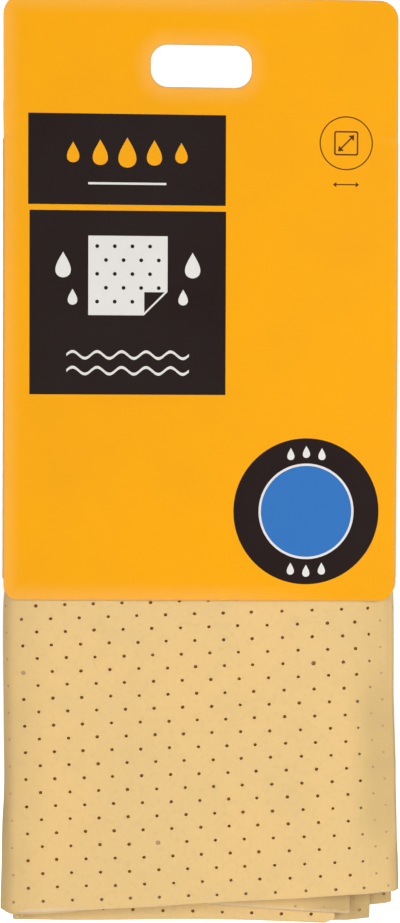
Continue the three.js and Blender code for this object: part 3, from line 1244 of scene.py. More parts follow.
@dataclass
class PunchedRows:
    """One patch of the punched pattern, as flat places on the unfolded sheet in millimetres.

    Attributes:
        start: The girth and the drop of the pattern's own middle.
        tilt: How far its rows turn anticlockwise, in degrees.
        low: The least girth and drop that it keeps to.
        high: The greatest girth and drop that it keeps to.
        depth: The punch's length, of which 0.1 stands out of the cloth.
        pitch: From column to column.
        lean: How far its columns lean over for each millimetre up, on top of its tilt.
        widening: What a column's pitch gains past the second column.
        narrowing: What it loses again past the fifth.
        spread: How much wider its columns stand for each metre down.
        crowd: How much closer its rows stand for each metre up.
        sink: How far below the outer face the punch starts.
    """

    start: tuple[float, float]
    tilt: float
    low: tuple[float, float]
    high: tuple[float, float]
    depth: float = 1.22
    pitch: float = 9.2
    lean: float = 0.0
    widening: float = 0.0
    narrowing: float = 0.0
    spread: float = 0.0
    crowd: float = 0.0
    sink: float = 0.0

    def inputs(self, row_pitch: float) -> dict[str, float | int]:
        """What the group's inputs hold for this patch.

        Args:
            row_pitch: From row to row.

        Returns:
            The values by the inputs' names, in metres and radians.
        """
        reach = [max(abs(high - start), abs(start - low))
                 for start, low, high in zip(self.start, self.low, self.high)]
        lengths = (self.depth, self.pitch, self.widening, self.narrowing, self.sink, *self.start, *self.low,
                   *self.high)
        return {**{name: length * MM for name, length in zip(PATCH_LENGTHS, lengths)},
                "Tilt": math.radians(self.tilt), "Lean": self.lean, "Spread": self.spread,
                "Crowd": self.crowd, "Columns": 2 * int(reach[0] / self.pitch + 4),
                "Rows": 2 * int(reach[1] / row_pitch + reach[0] / 60 + 4)}


@dataclass
class ChamoisCloth:
    """The cloth: one sheet, folded once down and twice across, with its plies and cut edges as they fall.

    The doubled sheet's middle line is drawn in plan at each level, and its faces stand off it on both sides.
    A station's leg counts the vertical folds passed from the inner cut end. Lengths are in millimetres.

    Attributes:
        ply: The thickness of one ply.
        ply_gap: The air between two plies.
        middle: The depth of the packet's middle.
        top: The level of the top fold.
        mouth: The level of the sleeve's mouth, below which the cloth is free.
        bottom: The level that a cut edge without any offset would have.
        left_side: How far the packet reaches to the left, by level.
        right_side: How far it reaches to the right, by level.
        inner_end: How far the inner cut end stands from the right side, and how much that differs at the
            edges of the front and the back sheet.
        outer_end: The same for the outer cut end.
        inner_setback: How far the inner left fold stands back at the bottom.
        fold_drop: How far the inner plies sink towards the right fold, and over what width.
        fold_rise: How much the cut edges rise at the left and the right fold.
        rise_reach: Over what width they do.
        turn_slope: How much the inner left fold's edge falls towards the front.
        opening: How much further apart the plies stand at the bottom.
        side: The unfolded sheet's side.
        flat_zero: The girth of the front's middle, counted from the inner cut end.
        edge_bulge: How far the cut edges bulge.
        clean_edge: How much further from a clean edge a point counts as.
        front_edge: The level of the front sheet's cut edge, by leg.
        back_edge: The level of the back sheet's.
        lattice_spot: A place on the front ply where a hole is.
        odd_holes: Two holes that kept their plugs, and one wide one.
        hole_radius: The punch's radius.
        hole_sizes: The least and the greatest width of a hole, as shares of the punch's.
        hole_height: A hole's height as a share of its width.
        odd_reach: How near to its spot the odd hole lies.
        pressed_below: How open a hole has to stand to be punched through.
        scatter: How far the holes stand off their rows at most.
        row_pitch: From one row of holes to the next.
        spread_from: How far above its middle the front's pattern starts to spread.
        hole_sides: How many sides stand for a hole's circle.
        seed: The seed of the holes' scatter and size.
        sharp_angle: The angle past which an edge is shaded sharp, in degrees.
    """

    ply: float = 0.8
    ply_gap: float = 0.4
    middle: float = 4.8
    top: float = -23.7
    mouth: float = -170.2
    bottom: float = -268.7
    left_side: Table = (
        (-266, -261, -254, -246.5, -239, -234, -227, -215, -202.5, -186, -178, -171, -168, -160),
        (-63.5, -63.37, -63.15, -63.1, -62.85, -62.5, -62.35, -62.5, -62.6, -62.82, -62.82, -62.73,
         -62.42, -62.3))
    right_side: Table = (
        (-264, -258.7, -251.5, -242, -232, -227, -221, -211, -203, -187, -171, -168, -164.5, -160),
        (65.85, 65.68, 65.32, 65.08, 64.72, 64.75, 64.47, 64.1, 63.8, 63.77, 63.62, 63.4, 62.7, 61.9))
    inner_end: tuple[float, float] = (18.4, 2.4)
    outer_end: tuple[float, float] = (5.3, 3.7)
    inner_setback: float = 1.2
    fold_drop: tuple[float, float] = (2.3, 10.5)
    fold_rise: tuple[float, float] = (0.55, 1.4)
    rise_reach: tuple[float, float] = (5.0, 2.6)
    turn_slope: float = 0.5
    opening: float = 0.15
    side: float = 500.0
    flat_zero: float = 305.0
    edge_bulge: float = 0.22
    clean_edge: float = 0.6
    front_edge: Table = (
        (0, 1, 2, 2.067, 2.119, 2.25, 2.383, 2.515, 2.581, 2.647, 2.713, 2.779, 2.858, 2.917, 2.945, 2.972,
         3, 3.948, 4),
        (-273.2, -264.1, -265.4, -265.65, -265.8, -266.5, -267.05, -267.77, -268.18, -268.66, -268.93,
         -269.25, -269.7, -270.1, -270.2, -270.25, -270.07, -271.45, -270.8))
    back_edge: Table = (
        (0, 0.03, 0.107, 0.266, 0.426, 0.581, 0.861, 0.98, 1, 1.01, 1.02, 1.07, 1.12, 1.45, 2, 2.25, 2.5,
         2.779, 2.819, 2.858, 2.917, 2.945, 2.972, 3, 3.914, 3.94, 4),
        (-275.2, -276.5, -275.9, -275.0, -274.6, -274.4, -274.45, -274.1, -273.3, -272.0, -270.9, -269.2,
         -268.0, -266.0, -263.6, -265.4, -266.9, -268.9, -269.8, -270.35, -270.9, -271.06, -271.1, -270.95,
         -276.1, -276.1, -275.5))
    lattice_spot: tuple[float, float] = (-0.15, -217.32)
    odd_holes: tuple[tuple[float, float, float], ...] = (
        (-56.45, 0.2, -192.95), (-12.99, 0.2, -248.33), (36.9, 0.2, -190.4))
    hole_radius: float = 0.55
    row_pitch: float = 4.316
    spread_from: float = 18.8
    hole_sizes: tuple[float, float] = (0.92, 1.1)
    hole_height: float = 0.9
    odd_reach: float = 1.8
    pressed_below: float = 0.8
    scatter: float = 0.1
    sharp_angle: float = 48.0
    hole_sides: int = 12
    seed: int = 7

    def __post_init__(self) -> None:
        """Works out the doubled sheet's thickness and pitch, and the legs of the grid's stations."""
        self.pair = 2 * self.ply + self.ply_gap
        self.pitch = self.pair + self.ply_gap
        self.legs = self.line(1.0, self.mouth)[0]

    def rows(self) -> list[tuple[float, float, float]]:
        """The levels that the sheet is drawn at, from the front sheet's edge over the top to the back one's.

        Returns:
            For each row its side, its lift over the top fold and its level at rest.
        """
        hidden = [*np.linspace(self.top, -158.0, 19), -160.0, -161.5, -163.0, -164.5, -166.0, -168.0]
        free = self.mouth + (self.bottom - self.mouth) * np.concatenate(
            [np.linspace(0.025, 0.9, 24), [0.93, 0.955, 0.975, 0.988, 1.0]])
        levels = [*hidden, self.mouth, *free]
        over = [(math.cos(a), math.sin(a), self.top) for a in np.linspace(0, math.pi, 9)[1:-1]]
        return [*((1.0, 0.0, level) for level in reversed(levels)), *over,
                *((-1.0, 0.0, level) for level in levels)]

    def sides(self, level: np.ndarray | float) -> tuple[np.ndarray, np.ndarray]:
        """How far the packet reaches to the left and to the right at a level."""
        return np.interp(level, *self.left_side), np.interp(level, *self.right_side)

    def freedom(self, level: float) -> float:
        """The share of the free cloth that lies above a level."""
        return max(0.0, (self.mouth - level) / (self.mouth - self.bottom))

    def line(self, side: float, level: float) -> tuple[np.ndarray, np.ndarray, np.ndarray]:
        """The doubled sheet's middle line in plan at one level.

        Args:
            side: 1 on the front sheet, -1 on the back one, between them over the top fold.
            level: The level.

        Returns:
            The legs, the points and the ways towards the front sheet.
        """
        free = self.freedom(level)
        pitch = self.pitch * (1 + self.opening * free ** 2)
        left, right = self.sides(level)
        turn_left = left + pitch * 1.5 + self.pair / 2
        inner_left = turn_left + self.inner_setback * free
        turn_right = right - pitch / 2 - self.pair / 2
        skew = side * (self.top - level) / (self.top - self.bottom)
        layers = [self.middle + place * pitch for place in (-1.5, -0.5, 0.5, 1.5)]
        drop, reach = self.fold_drop
        legs: list[float] = []
        points: list[tuple[float, float]] = []
        ways: list[tuple[float, float]] = []

        def spread(start: float, end: float, count: int) -> np.ndarray:
            """Even places along a stretch, without its last one."""
            return start + (end - start) * (np.arange(count) / count)

        def run(places: list[float] | np.ndarray, leg: int, first: float, last: float, layer: float,
                way: float) -> None:
            """Adds one leg, which may sink beside the right fold.

            Args:
                places: Its places across the packet.
                leg: Its number.
                first: Where the whole leg starts.
                last: Where it ends.
                layer: Its depth in the packet.
                way: The way towards the front sheet, 1 or -1.
            """
            for x in places:
                near = float(np.clip((x - turn_right + reach) / reach, 0, 1)) if leg in (1, 2) else 0.0
                slope = 6 * (near - near ** 2) * drop / reach
                size = math.hypot(slope, 1)
                legs.append(leg + (x - first) / (last - first))
                points.append((x, layer + drop * (3 * near ** 2 - 2 * near ** 3)))
                ways.append((-slope / size * way, way / size))

        def turn(x: float, start: float, end: float, hand: float, leg: float, back: float,
                 count: int) -> None:
            """Adds a half turn from one layer to another, with both its ends.

            Args:
                x: Where it starts and ends.
                start: The layer it starts on.
                end: The layer it ends on.
                hand: The side it bulges to, 1 or -1.
                leg: The leg it belongs to.
                back: How far it is pushed towards the back.
                count: How many steps it takes.
            """
            away, radius = math.copysign(1, start - end), abs(end - start) / 2
            for angle in np.linspace(0, math.pi, count + 1):
                arm = (hand * math.sin(angle), away * math.cos(angle))
                legs.append(leg)
                points.append((x + arm[0] * radius, (start + end) / 2 + back + arm[1] * radius))
                ways.append((arm[0] * hand * away, arm[1] * hand * away))

        inner, outer = (right - inset + slant * skew for inset, slant in (self.inner_end, self.outer_end))
        hem = 8.0
        run([*spread(inner, inner - hem, 5), *spread(inner - hem, inner_left, 16)],
            0, inner, inner_left, layers[2], -1)
        turn(inner_left, layers[2], layers[1], -1, 1, 0, 6)
        run([*spread(inner_left, inner_left + 2, 2), *spread(inner_left + 2, turn_right, 25)],
            1, inner_left, turn_right, layers[1], 1)
        turn(turn_right, layers[1], layers[0], 1, 2, drop, 12)
        fine, coarse = np.linspace(0.0, reach, 11)[1:], np.linspace(reach, turn_right - turn_left, 34)[1:-1]
        run(turn_right - np.concatenate([fine, coarse]), 2, turn_right, turn_left, layers[0], -1)
        turn(turn_left, layers[0], layers[3], -1, 3, 0, 16)
        run([*spread(turn_left, outer - hem, 22), *spread(outer - hem, outer, 5), outer],
            3, turn_left, outer, layers[3], 1)
        return np.array(legs), np.array(points), np.array(ways)

    def sway(self, x: np.ndarray, z: np.ndarray) -> np.ndarray:
        """How far the free cloth wanders forward or back, the same for all its plies.

        Args:
            x: Places across.
            z: Levels.

        Returns:
            The shift towards the back.
        """
        free = smooth(self.mouth - 4, self.bottom, z)
        slow = 0.45 * np.sin(x / 19.0 + z / 31.0 + 0.6) + 0.3 * np.sin(x / 8.5 - z / 23.0 + 2.1)
        fold = self.sides(z)[0]
        low = smooth(self.bottom + 34, self.bottom + 10, z)
        groove = 0.5 * np.exp(-((x - fold - 1.9) / 0.9) ** 2)
        ridge = -0.25 * np.exp(-((x - fold - 4.6) / 1.6) ** 2)
        return free * slow + low * (groove + ridge)

    def face(self, distance: float) -> tuple[np.ndarray, np.ndarray]:
        """One face of the folded sheet.

        Args:
            distance: How far it stands off the doubled sheet's middle.

        Returns:
            Its points, row by row, and the girth and drop of each. The girth is counted from the front's
            middle, and the drop from the top fold, below 0 on the back sheet.
        """
        points, flats = [], []
        (left_rise, right_rise), (left_reach, right_reach) = self.fold_rise, self.rise_reach
        for side, lift, level in self.rows():
            legs, middle, ways = self.line(side, level)
            free = self.freedom(level)
            left, right = self.sides(level)
            edge = np.interp(legs, *(self.front_edge if side > 0 else self.back_edge))
            edge += right_rise * np.clip((middle[:, 0] - right) / right_reach + 1, 0, 1) ** 2
            edge += left_rise * np.clip((left - middle[:, 0]) / left_reach + 1, 0, 1) ** 2
            turn = np.clip(1 - np.abs(legs - 1) / 0.03, 0, 1)
            edge += self.turn_slope * turn * (self.middle - middle[:, 1])
            height = self.mouth + (edge - self.mouth) * free if free > 0 else np.full(len(legs), level)
            folded = lift > 0 or level == self.top
            height = height + distance * lift - (self.pair / 2 if folded else 0)
            spot = middle + ways * distance * side
            girth = np.concatenate([[0], np.cumsum(np.linalg.norm(np.diff(middle, axis=0), axis=1))])
            front = (legs > 2) & (legs < 3)
            girth += self.flat_zero - np.interp(0.0, middle[front, 0][::-1], girth[front][::-1])
            y = spot[:, 1] + self.sway(middle[:, 0], height)
            points.append(np.stack([spot[:, 0], y, height], 1))
            drop = side * (self.pair / 2 if folded else self.top - height)
            flats.append(np.stack([girth, np.zeros(len(girth)) + drop], 1))
        return np.array(points), np.array(flats)

    def sheet(self) -> tuple[bpy.types.Object, bpy.types.Object]:
        """The closed sheet, and its outer face alone, which carries the flat map that the punch follows.

        Returns:
            The two objects.
        """
        outer, flats = self.face(self.pair / 2)
        inner, _ = self.face(self.ply_gap / 2)
        rows, stations = outer.shape[:2]
        count = rows * stations
        number = np.arange(count).reshape(rows, stations)
        quads = np.stack([number[:-1, :-1], number[1:, :-1], number[1:, 1:], number[:-1, 1:]],
                         -1).reshape(-1, 4)
        loop = np.concatenate([number[0, :-1], number[:-1, -1], number[-1, :0:-1], number[:0:-1, 0]])
        points = np.concatenate([outer.reshape(-1, 3), inner.reshape(-1, 3)])
        centre = (outer + inner) / 2
        along = np.zeros_like(centre)
        for end, beside in ((0, 1), (-1, -2)):
            along[end] += centre[end] - centre[beside]
            along[:, end] += centre[:, end] - centre[:, beside]
        out = unit(along.reshape(-1, 3)[loop])
        first, last = points[loop], points[loop + count]
        rings = [loop]
        for step in (1, 2, 3):
            angle = math.pi * step / 4
            share = (1 - math.cos(angle)) / 2
            ring = first + (last - first) * share + out * self.edge_bulge * math.sin(angle)
            rings.append(np.arange(len(loop)) + len(points))
            points = np.concatenate([points, ring])
        rings.append(loop + count)
        faces = [quads, (quads + count)[:, ::-1]]
        faces += [np.stack([near, np.roll(near, -1), np.roll(far, -1), far], -1)
                  for near, far in zip(rings, rings[1:])]
        ease, shade_and_wear = (values.reshape(-1) for values in self.easing(centre))
        edge = self.edge_distance(centre).reshape(-1)
        # The cut-edge distance and the painted shade go onto every point of the sheet.
        both = {name: np.concatenate([values, values, *[values[loop]] * 3])
                for name, values in (("edge", edge), ("rubbed", shade_and_wear))}
        sheet = self.mesh_object("cloth_sheet", points, np.concatenate(faces), **both)
        soft = np.empty(len(points) * 3, np.float32)
        sheet.data.vertex_normals.foreach_get("vector", soft)
        sheet.data.attributes.new("soft", "FLOAT_VECTOR", "POINT").data.foreach_set("vector", soft)
        guide = self.mesh_object("cloth_guide", outer.reshape(-1, 3), quads, edge=edge, ease=ease)
        where = flats.reshape(-1, 2)[quads.reshape(-1)] / self.side + (0, 0.5)
        flat = guide.data.uv_layers.new(name="flat")
        flat.data.foreach_set("uv", where.astype(np.float32).reshape(-1))
        return sheet, guide

    def easing(self, centre: np.ndarray) -> tuple[np.ndarray, np.ndarray]:
        """How the vertical folds press the cloth so that its holes close there, and where shade is painted on
        its nap.

        Args:
            centre: The middle of the ply at each grid point.

        Returns:
            How open the holes stand, from 0 to 1, and how much shade is painted on the nap; past 1 it is
            deeper painted shade.
        """
        x, level, legs = centre[..., 0], centre[..., 2], self.legs
        left, right = self.sides(level)
        from_left, from_right = x - left, right - x
        front = np.arange(len(centre))[:, None] * 2 < len(centre)
        front_ply, tongue = front & (legs > 2) & (legs < 3), front & (legs < 1)
        # The holes close towards both folds, further in lower down on the right
        lower = smooth(-175, -205, level)
        wavy = 1.5 * np.sin(level / 5.3 + 0.8) * lower
        pressed = smooth(0, 1, (from_right - 2.9 + wavy) / (6.5 + 8.5 * lower))
        pressed = np.where((legs > 1.02) & (legs < 2.98), pressed, 1.0)
        open_share = np.minimum(smooth(2.2, 6.5, from_left), pressed)
        open_share *= 1 - 0.22 * smooth(-257, -262, level) * front_ply
        open_share = np.where(tongue, 0.25, open_share)
        # Shade is painted on the nap along both folds, darkest at the very side, where the cloth turns from
        # the light
        left_shade = 0.5 * smooth(17.0, 3.0, from_left) + 0.25 * smooth(2.8, 1.6, from_left)
        left_shade += 0.5 * smooth(3.6, 2.4, from_left) * np.exp(-((level + 240) / 12) ** 2)
        band = np.interp(level, (-262, -252, -240, -205, -192, -182), (0.35, 0.5, 1.0, 1.0, 0.6, 0.5))
        right_shade = np.maximum(smooth(18.0, 6.5, from_right) * band, 0.7 * smooth(5.0, 2.5, from_right))
        right_shade += 0.6 * smooth(3.0, 0.8, from_right) * smooth(-245, -256, level)
        shade_and_wear = np.maximum(left_shade, right_shade) + smooth(1.4, 0.3, np.minimum(from_left + 0.4, from_right))
        # The inner plies that show at the lower right lie in the shade of the front ply
        shade = 1.3 * smooth(24, 48, x) * smooth(-254, -262, level)
        return open_share, np.where((legs > 3) | tongue, np.maximum(shade_and_wear, shade), shade_and_wear)

    def edge_distance(self, centre: np.ndarray) -> np.ndarray:
        """The distance of each grid point from the nearest cut edge along the grid, in metres.

        It counts for more where the edge is clean, which is all but the outer parts of the front ply's edge
        and the tongue's.

        Args:
            centre: The middle of the ply at each grid point.

        Returns:
            The distances.
        """
        x, legs = centre[..., 0], self.legs
        front = np.arange(len(centre))[:, None] * 2 < len(centre)
        torn = np.maximum(smooth(-30, -48, x), 0.6 * smooth(55, 62, x))
        frayed = np.maximum((front & (legs > 2) & (legs < 3)) * torn, 0.5 * (front & (legs < 1)))
        gaps = []
        for axis in (0, 1):
            steps = np.linalg.norm(np.diff(centre, axis=axis), axis=2)
            run = np.insert(np.cumsum(steps, axis), 0, 0.0, axis)
            gaps.append(np.minimum(run, np.take(run, [-1], axis) - run))
        low = gaps[0] + self.clean_edge * (1 - 1.8 * frayed)
        return np.minimum(low, gaps[1] + 1.5 * self.clean_edge) * MM

    def mesh_object(self, name: str, points: np.ndarray, faces: np.ndarray,
                    **values: np.ndarray) -> bpy.types.Object:
        """An object with some values on every point.

        Args:
            name: Its name.
            points: Its points in millimetres.
            faces: Its faces.
            **values: The values by name.

        Returns:
            The object.
        """
        mesh = bpy.data.meshes.new(name)
        mesh.from_pydata((points * MM).tolist(), [], faces.tolist())
        for title, row in values.items():
            mesh.attributes.new(title, "FLOAT", "POINT").data.foreach_set("value", row.astype(np.float32))
        mesh.polygons.foreach_set("use_smooth", [True] * len(mesh.polygons))
        return linked(name, mesh)

    def patches(self) -> list[PunchedRows]:
        """The stretches of the sheet whose holes show.

        Returns:
            The patches.
        """
        points, flats = self.face(self.pair / 2)
        legs, girth = self.legs, flats[len(flats) // 2][:, 0]
        fold = [float(girth[np.flatnonzero(legs == leg)].mean()) for leg in (1, 2, 3)]
        end, drop = float(flats[..., 0].max()) + 1, self.top - self.bottom

        def spot(x: float, z: float, leg: int, side: float) -> tuple[float, float]:
            """The flat place of a spot seen on one ply.

            Args:
                x: The spot's place across.
                z: Its height.
                leg: The ply's leg.
                side: 1 on the front sheet, -1 on the back one.

            Returns:
                Its girth and its drop on the unfolded sheet.
            """
            off = np.hypot(points[..., 0] - x, points[..., 2] - z)
            off[(flats[..., 1] * side < 0) | (legs < leg) | (legs > leg + 1)] = np.inf
            row, station = np.unravel_index(int(np.argmin(off)), off.shape)
            way = -1 if leg in (0, 2) else 1
            return flats[row, station, 0] + way * (x - points[row, station, 0]), side * (self.top - z)

        tilt, pit, through = 181.6, 0.75, 1.1
        front, outer = spot(*self.lattice_spot, 2, 1), spot(61.75, -268.03, 3, 1)
        tongue, back = spot(32.11, -270.65, 0, 1), spot(-1.34, -272.01, 0, -1)
        return [PunchedRows(front, tilt, (fold[1] - 9, 2.5), (fold[2] + 3.5, drop + 4), lean=-0.0052,
                            widening=0.56, narrowing=1.4, spread=0.16, crowd=0.21),
                PunchedRows(outer, tilt, (fold[2] + 8, 2.5), (end - 8, drop + 4), through),
                PunchedRows(outer, tilt, (end - 8, 2.5), (end, drop + 4), pit, sink=0.2),
                PunchedRows(tongue, -2.2, (0.0, drop - 16), (fold[0] - 4, drop + 6), pit, 9.4),
                PunchedRows(back, 2.4, (0.0, -drop - 9), (fold[0] - 4, 16 - drop), through, 9.68),
                PunchedRows(spot(53.59, -272.93, 3, -1), -2.4, (fold[2] + 6, -drop - 9), (end, 16 - drop),
                            pit)]

    def pattern(self, bench: Bench, given: dict[str, Wire]) -> Wire:
        """Lays out the places of one patch: staggered rows, scattered a little.

        Args:
            bench: Where the nodes go.
            given: The group's inputs.

        Returns:
            The points, on the unfolded sheet.
        """
        grid = bench.out("GeometryNodeMeshGrid", {
            "Size X": 1.0, "Size Y": 1.0, "Vertices X": given["Columns"], "Vertices Y": given["Rows"]})
        index = bench.out("GeometryNodeInputIndex")
        row, column = (number - bench.sum("FLOOR", given[name] / 2.0) for number, name in
                       ((bench.sum("MODULO", index, given["Rows"]), "Rows"),
                        (bench.sum("FLOOR", index / given["Rows"]), "Columns")))
        place = column + abs(bench.sum("MODULO", row, 2.0) * 0.5)
        x, z = place * given["Column pitch"], row * given["Row pitch"]
        for after, change in ((2.0, given["Widening"]), (5.0, given["Narrowing"] * -1.0)):
            x = x + bench.sum("MAXIMUM", place - after, 0.0) * change
        z = z - z * z * given["Crowd"]
        below = bench.sum("MAXIMUM", bench.sum("SUBTRACT", self.spread_from * MM, z), 0.0)
        x = x + x * (below * given["Spread"])
        x = x + z * given["Lean"]
        turned = bench.out("ShaderNodeVectorRotate", {"Vector": bench.whole(x, z), "Angle": given["Tilt"]},
                           rotation_type="Z_AXIS")
        moved = bench.vector("ADD", turned, bench.whole(given["Start girth"], given["Start drop"]))
        scatter = bench.out("FunctionNodeRandomValue", {"Min": (-1, -1, 0), "Max": (1, 1, 0),
                                                        "Seed": given["Seed"]}, data_type="FLOAT_VECTOR")
        spot = bench.vector("ADD", moved, bench.vector("SCALE", scatter, given["Scatter"]))
        laid = bench.out("GeometryNodeSetPosition", {"Geometry": grid, "Position": spot})
        girth, drop, _ = bench.parts(bench.out("GeometryNodeInputPosition"))
        off = bench.test(girth, "LESS_THAN", given["Low girth"])
        for value, operation, name in ((drop, "LESS_THAN", "Low drop"), (girth, "GREATER_THAN", "High girth"),
                                       (drop, "GREATER_THAN", "High drop")):
            off = bench.logic("OR", off, bench.test(value, operation, given[name]))
        return bench.out("GeometryNodeDeleteGeometry", {"Geometry": laid, "Selection": off}, domain="POINT")

    def on_sheet(self, bench: Bench, given: dict[str, Wire], points: Wire) -> Wire:
        """Moves the places of one patch onto the folded sheet, and drops those beside a cut edge.

        Args:
            bench: Where the nodes go.
            given: The group's inputs.
            points: The points, on the unfolded sheet.

        Returns:
            The points, with the guide's values on them.
        """
        here = bench.out("GeometryNodeInputPosition")
        flat = bench.vector("ADD", bench.vector("SCALE", here, 1 / (self.side * MM)), (0.0, 0.5, 0.0))
        chart = bench.stored("flat", "FLOAT_VECTOR")
        for name, kind, value in (("place", "FLOAT_VECTOR", here),
                                  ("facing", "FLOAT_VECTOR", bench.out("GeometryNodeInputNormal")),
                                  ("open", "FLOAT", bench.stored("ease")),
                                  ("inset", "FLOAT", bench.stored("edge"))):
            found = bench.add("GeometryNodeSampleUVSurface", {"Mesh": given["Guide"], "Value": value,
                                                              "UV Map": chart, "Sample UV": flat},
                              data_type=kind)
            points = bench.store(points, name, Wire(bench, found.outputs[0]), kind)
        points = bench.store(points, "valid", Wire(bench, found.outputs["Is Valid"]), "BOOLEAN")
        clear = bench.test(bench.stored("inset"), "GREATER_THAN", given["Hole radius"] * 1.4)
        good = bench.logic("AND", clear, bench.stored("valid", "BOOLEAN"))
        points = bench.out("GeometryNodeDeleteGeometry", {"Geometry": points,
                                                          "Selection": bench.logic("NOT", good)},
                           domain="POINT")
        return bench.out("GeometryNodeSetPosition", {"Geometry": points,
                                                     "Position": bench.stored("place", "FLOAT_VECTOR")})

    def punch_group(self) -> bpy.types.NodeTree:
        """The node group that lays punches along one patch of the pattern.

        A pressed hole, and one that kept its plug, gets a short flat-ended punch instead of a deep one.

        Returns:
            The group.
        """
        tree = bpy.data.node_groups.new("punched_rows", "GeometryNodeTree")
        bench = Bench(tree)
        given = bench.ports("Punches", Geometry=("Guide",), **{
            **SHARED_INPUTS, "Float": (*SHARED_INPUTS["Float"], *PATCH_LENGTHS, "Tilt", "Lean", "Spread",
                                       "Crowd"), "Int": (*SHARED_INPUTS["Int"], "Columns", "Rows")})
        points = self.on_sheet(bench, given, self.pattern(bench, given))
        open_share, facing = bench.stored("open"), bench.stored("facing", "FLOAT_VECTOR")
        here = bench.out("GeometryNodeInputPosition")
        first, second, wide = (
            bench.sum("LESS_THAN", bench.vector("DISTANCE", here, given[name], "Value"),
                      self.odd_reach * MM)
            for name in ODD_HOLES)
        stopped = bench.sum("MAXIMUM", first, second)
        pressed = bench.sum("LESS_THAN", open_share, self.pressed_below)
        plugged = bench.test(bench.sum("MAXIMUM", stopped, pressed), "GREATER_THAN", 0.5)
        turn = bench.out("FunctionNodeAlignRotationToVector", {"Vector": facing}, axis="Z")
        size = bench.out("FunctionNodeRandomValue", {
            2: self.hole_sizes[0], 3: self.hole_sizes[1], "Seed": given["Seed"] + 5.0}, 1, data_type="FLOAT")
        odd_ones = bench.sum("MAXIMUM", stopped, wide) * 0.35
        width = size * bench.ramp(open_share, 0.3, 1.0, 0.75, 1.0) * 1.05 + odd_ones
        height = width * self.hole_height
        deep = bench.ramp(open_share, 0.4, 1.0, 0.36, 1.0)
        sunk = (given["Depth"] * deep - 0.2 * MM) * -0.5 - given["Sink"]
        shallow = bench.ramp(open_share, 0.25, 0.8, 0.43 * MM, -0.2 * MM) + stopped * (0.47 * MM)
        placed = []
        for name, length, scale, shift, pick in (
                ("Hole finish", given["Depth"], deep, sunk, bench.logic("NOT", plugged)),
                ("Plug finish", 1.0 * MM, 1.0, shallow, plugged)):
            shape = bench.out("GeometryNodeMeshCylinder", {
                "Vertices": given["Hole sides"], "Radius": given["Hole radius"], "Depth": length})
            shape = bench.out("GeometryNodeSetMaterial", {"Geometry": shape, "Material": given[name]})
            shifted = bench.out("GeometryNodeSetPosition", {
                "Geometry": points, "Offset": bench.vector("SCALE", facing, shift)})
            placed.append(bench.out("GeometryNodeInstanceOnPoints", {
                "Points": shifted, "Selection": pick, "Instance": shape, "Rotation": turn,
                "Scale": bench.whole(width, height, scale)}))
        bench.add("NodeGroupOutput", {"Punches": bench.out("GeometryNodeJoinGeometry", {0: placed})})
        return tree

    def punch_tree(self) -> bpy.types.NodeTree:
        """The tree that punches every patch out of the sheet.

        Returns:
            The tree.
        """
        tree = bpy.data.node_groups.new("punched_cloth", "GeometryNodeTree")
        bench = Bench(tree)
        given = bench.ports("Cloth", Geometry=("Sheet",), Object=("Guide",), **{
            **SHARED_INPUTS, "Material": (*SHARED_INPUTS["Material"], "Cloth finish", "Pit finish")})
        guide = bench.out("GeometryNodeObjectInfo", {"Object": given["Guide"]}, "Geometry")
        shared = {name: given[name] for names in SHARED_INPUTS.values() for name in names}
        group = self.punch_group()
        laid = []
        for patch in self.patches():
            finish = given["Pit finish" if patch.depth < self.ply else "Hole finish"]
            inputs = {**shared, **patch.inputs(self.row_pitch), "Guide": guide, "Hole finish": finish}
            laid.append(bench.out("GeometryNodeGroup", inputs, node_tree=group))
        joined = bench.out("GeometryNodeJoinGeometry", {0: laid})
        punches = bench.out("GeometryNodeRealizeInstances", {"Geometry": joined})
        cut = bench.out("GeometryNodeMeshBoolean", {0: given["Sheet"], 1: punches},
                        operation="DIFFERENCE", solver="MANIFOLD")
        whole = bench.out("GeometryNodeRealizeInstances", {"Geometry": cut})
        hole, plug, pit = (bench.out("GeometryNodeMaterialSelection", {0: given[name]})
                           for name in ("Hole finish", "Plug finish", "Pit finish"))
        face = bench.logic("NOR", bench.logic("OR", hole, plug), pit)
        made = bench.out("GeometryNodeSetMaterial", {"Geometry": whole, "Selection": face,
                                                     "Material": given["Cloth finish"]})
        # The cut-edge distance, the painted shade and the sheet's normals carry over onto the punched mesh.
        for name, kind in (("edge", "FLOAT"), ("rubbed", "FLOAT"), ("soft", "FLOAT_VECTOR")):
            near = bench.out("GeometryNodeSampleNearestSurface", {
                "Mesh": given["Sheet"], "Value": bench.stored(name, kind)}, data_type=kind)
            made = bench.store(made, name, near, kind)
        bench.add("NodeGroupOutput", {"Cloth": made})
        return tree

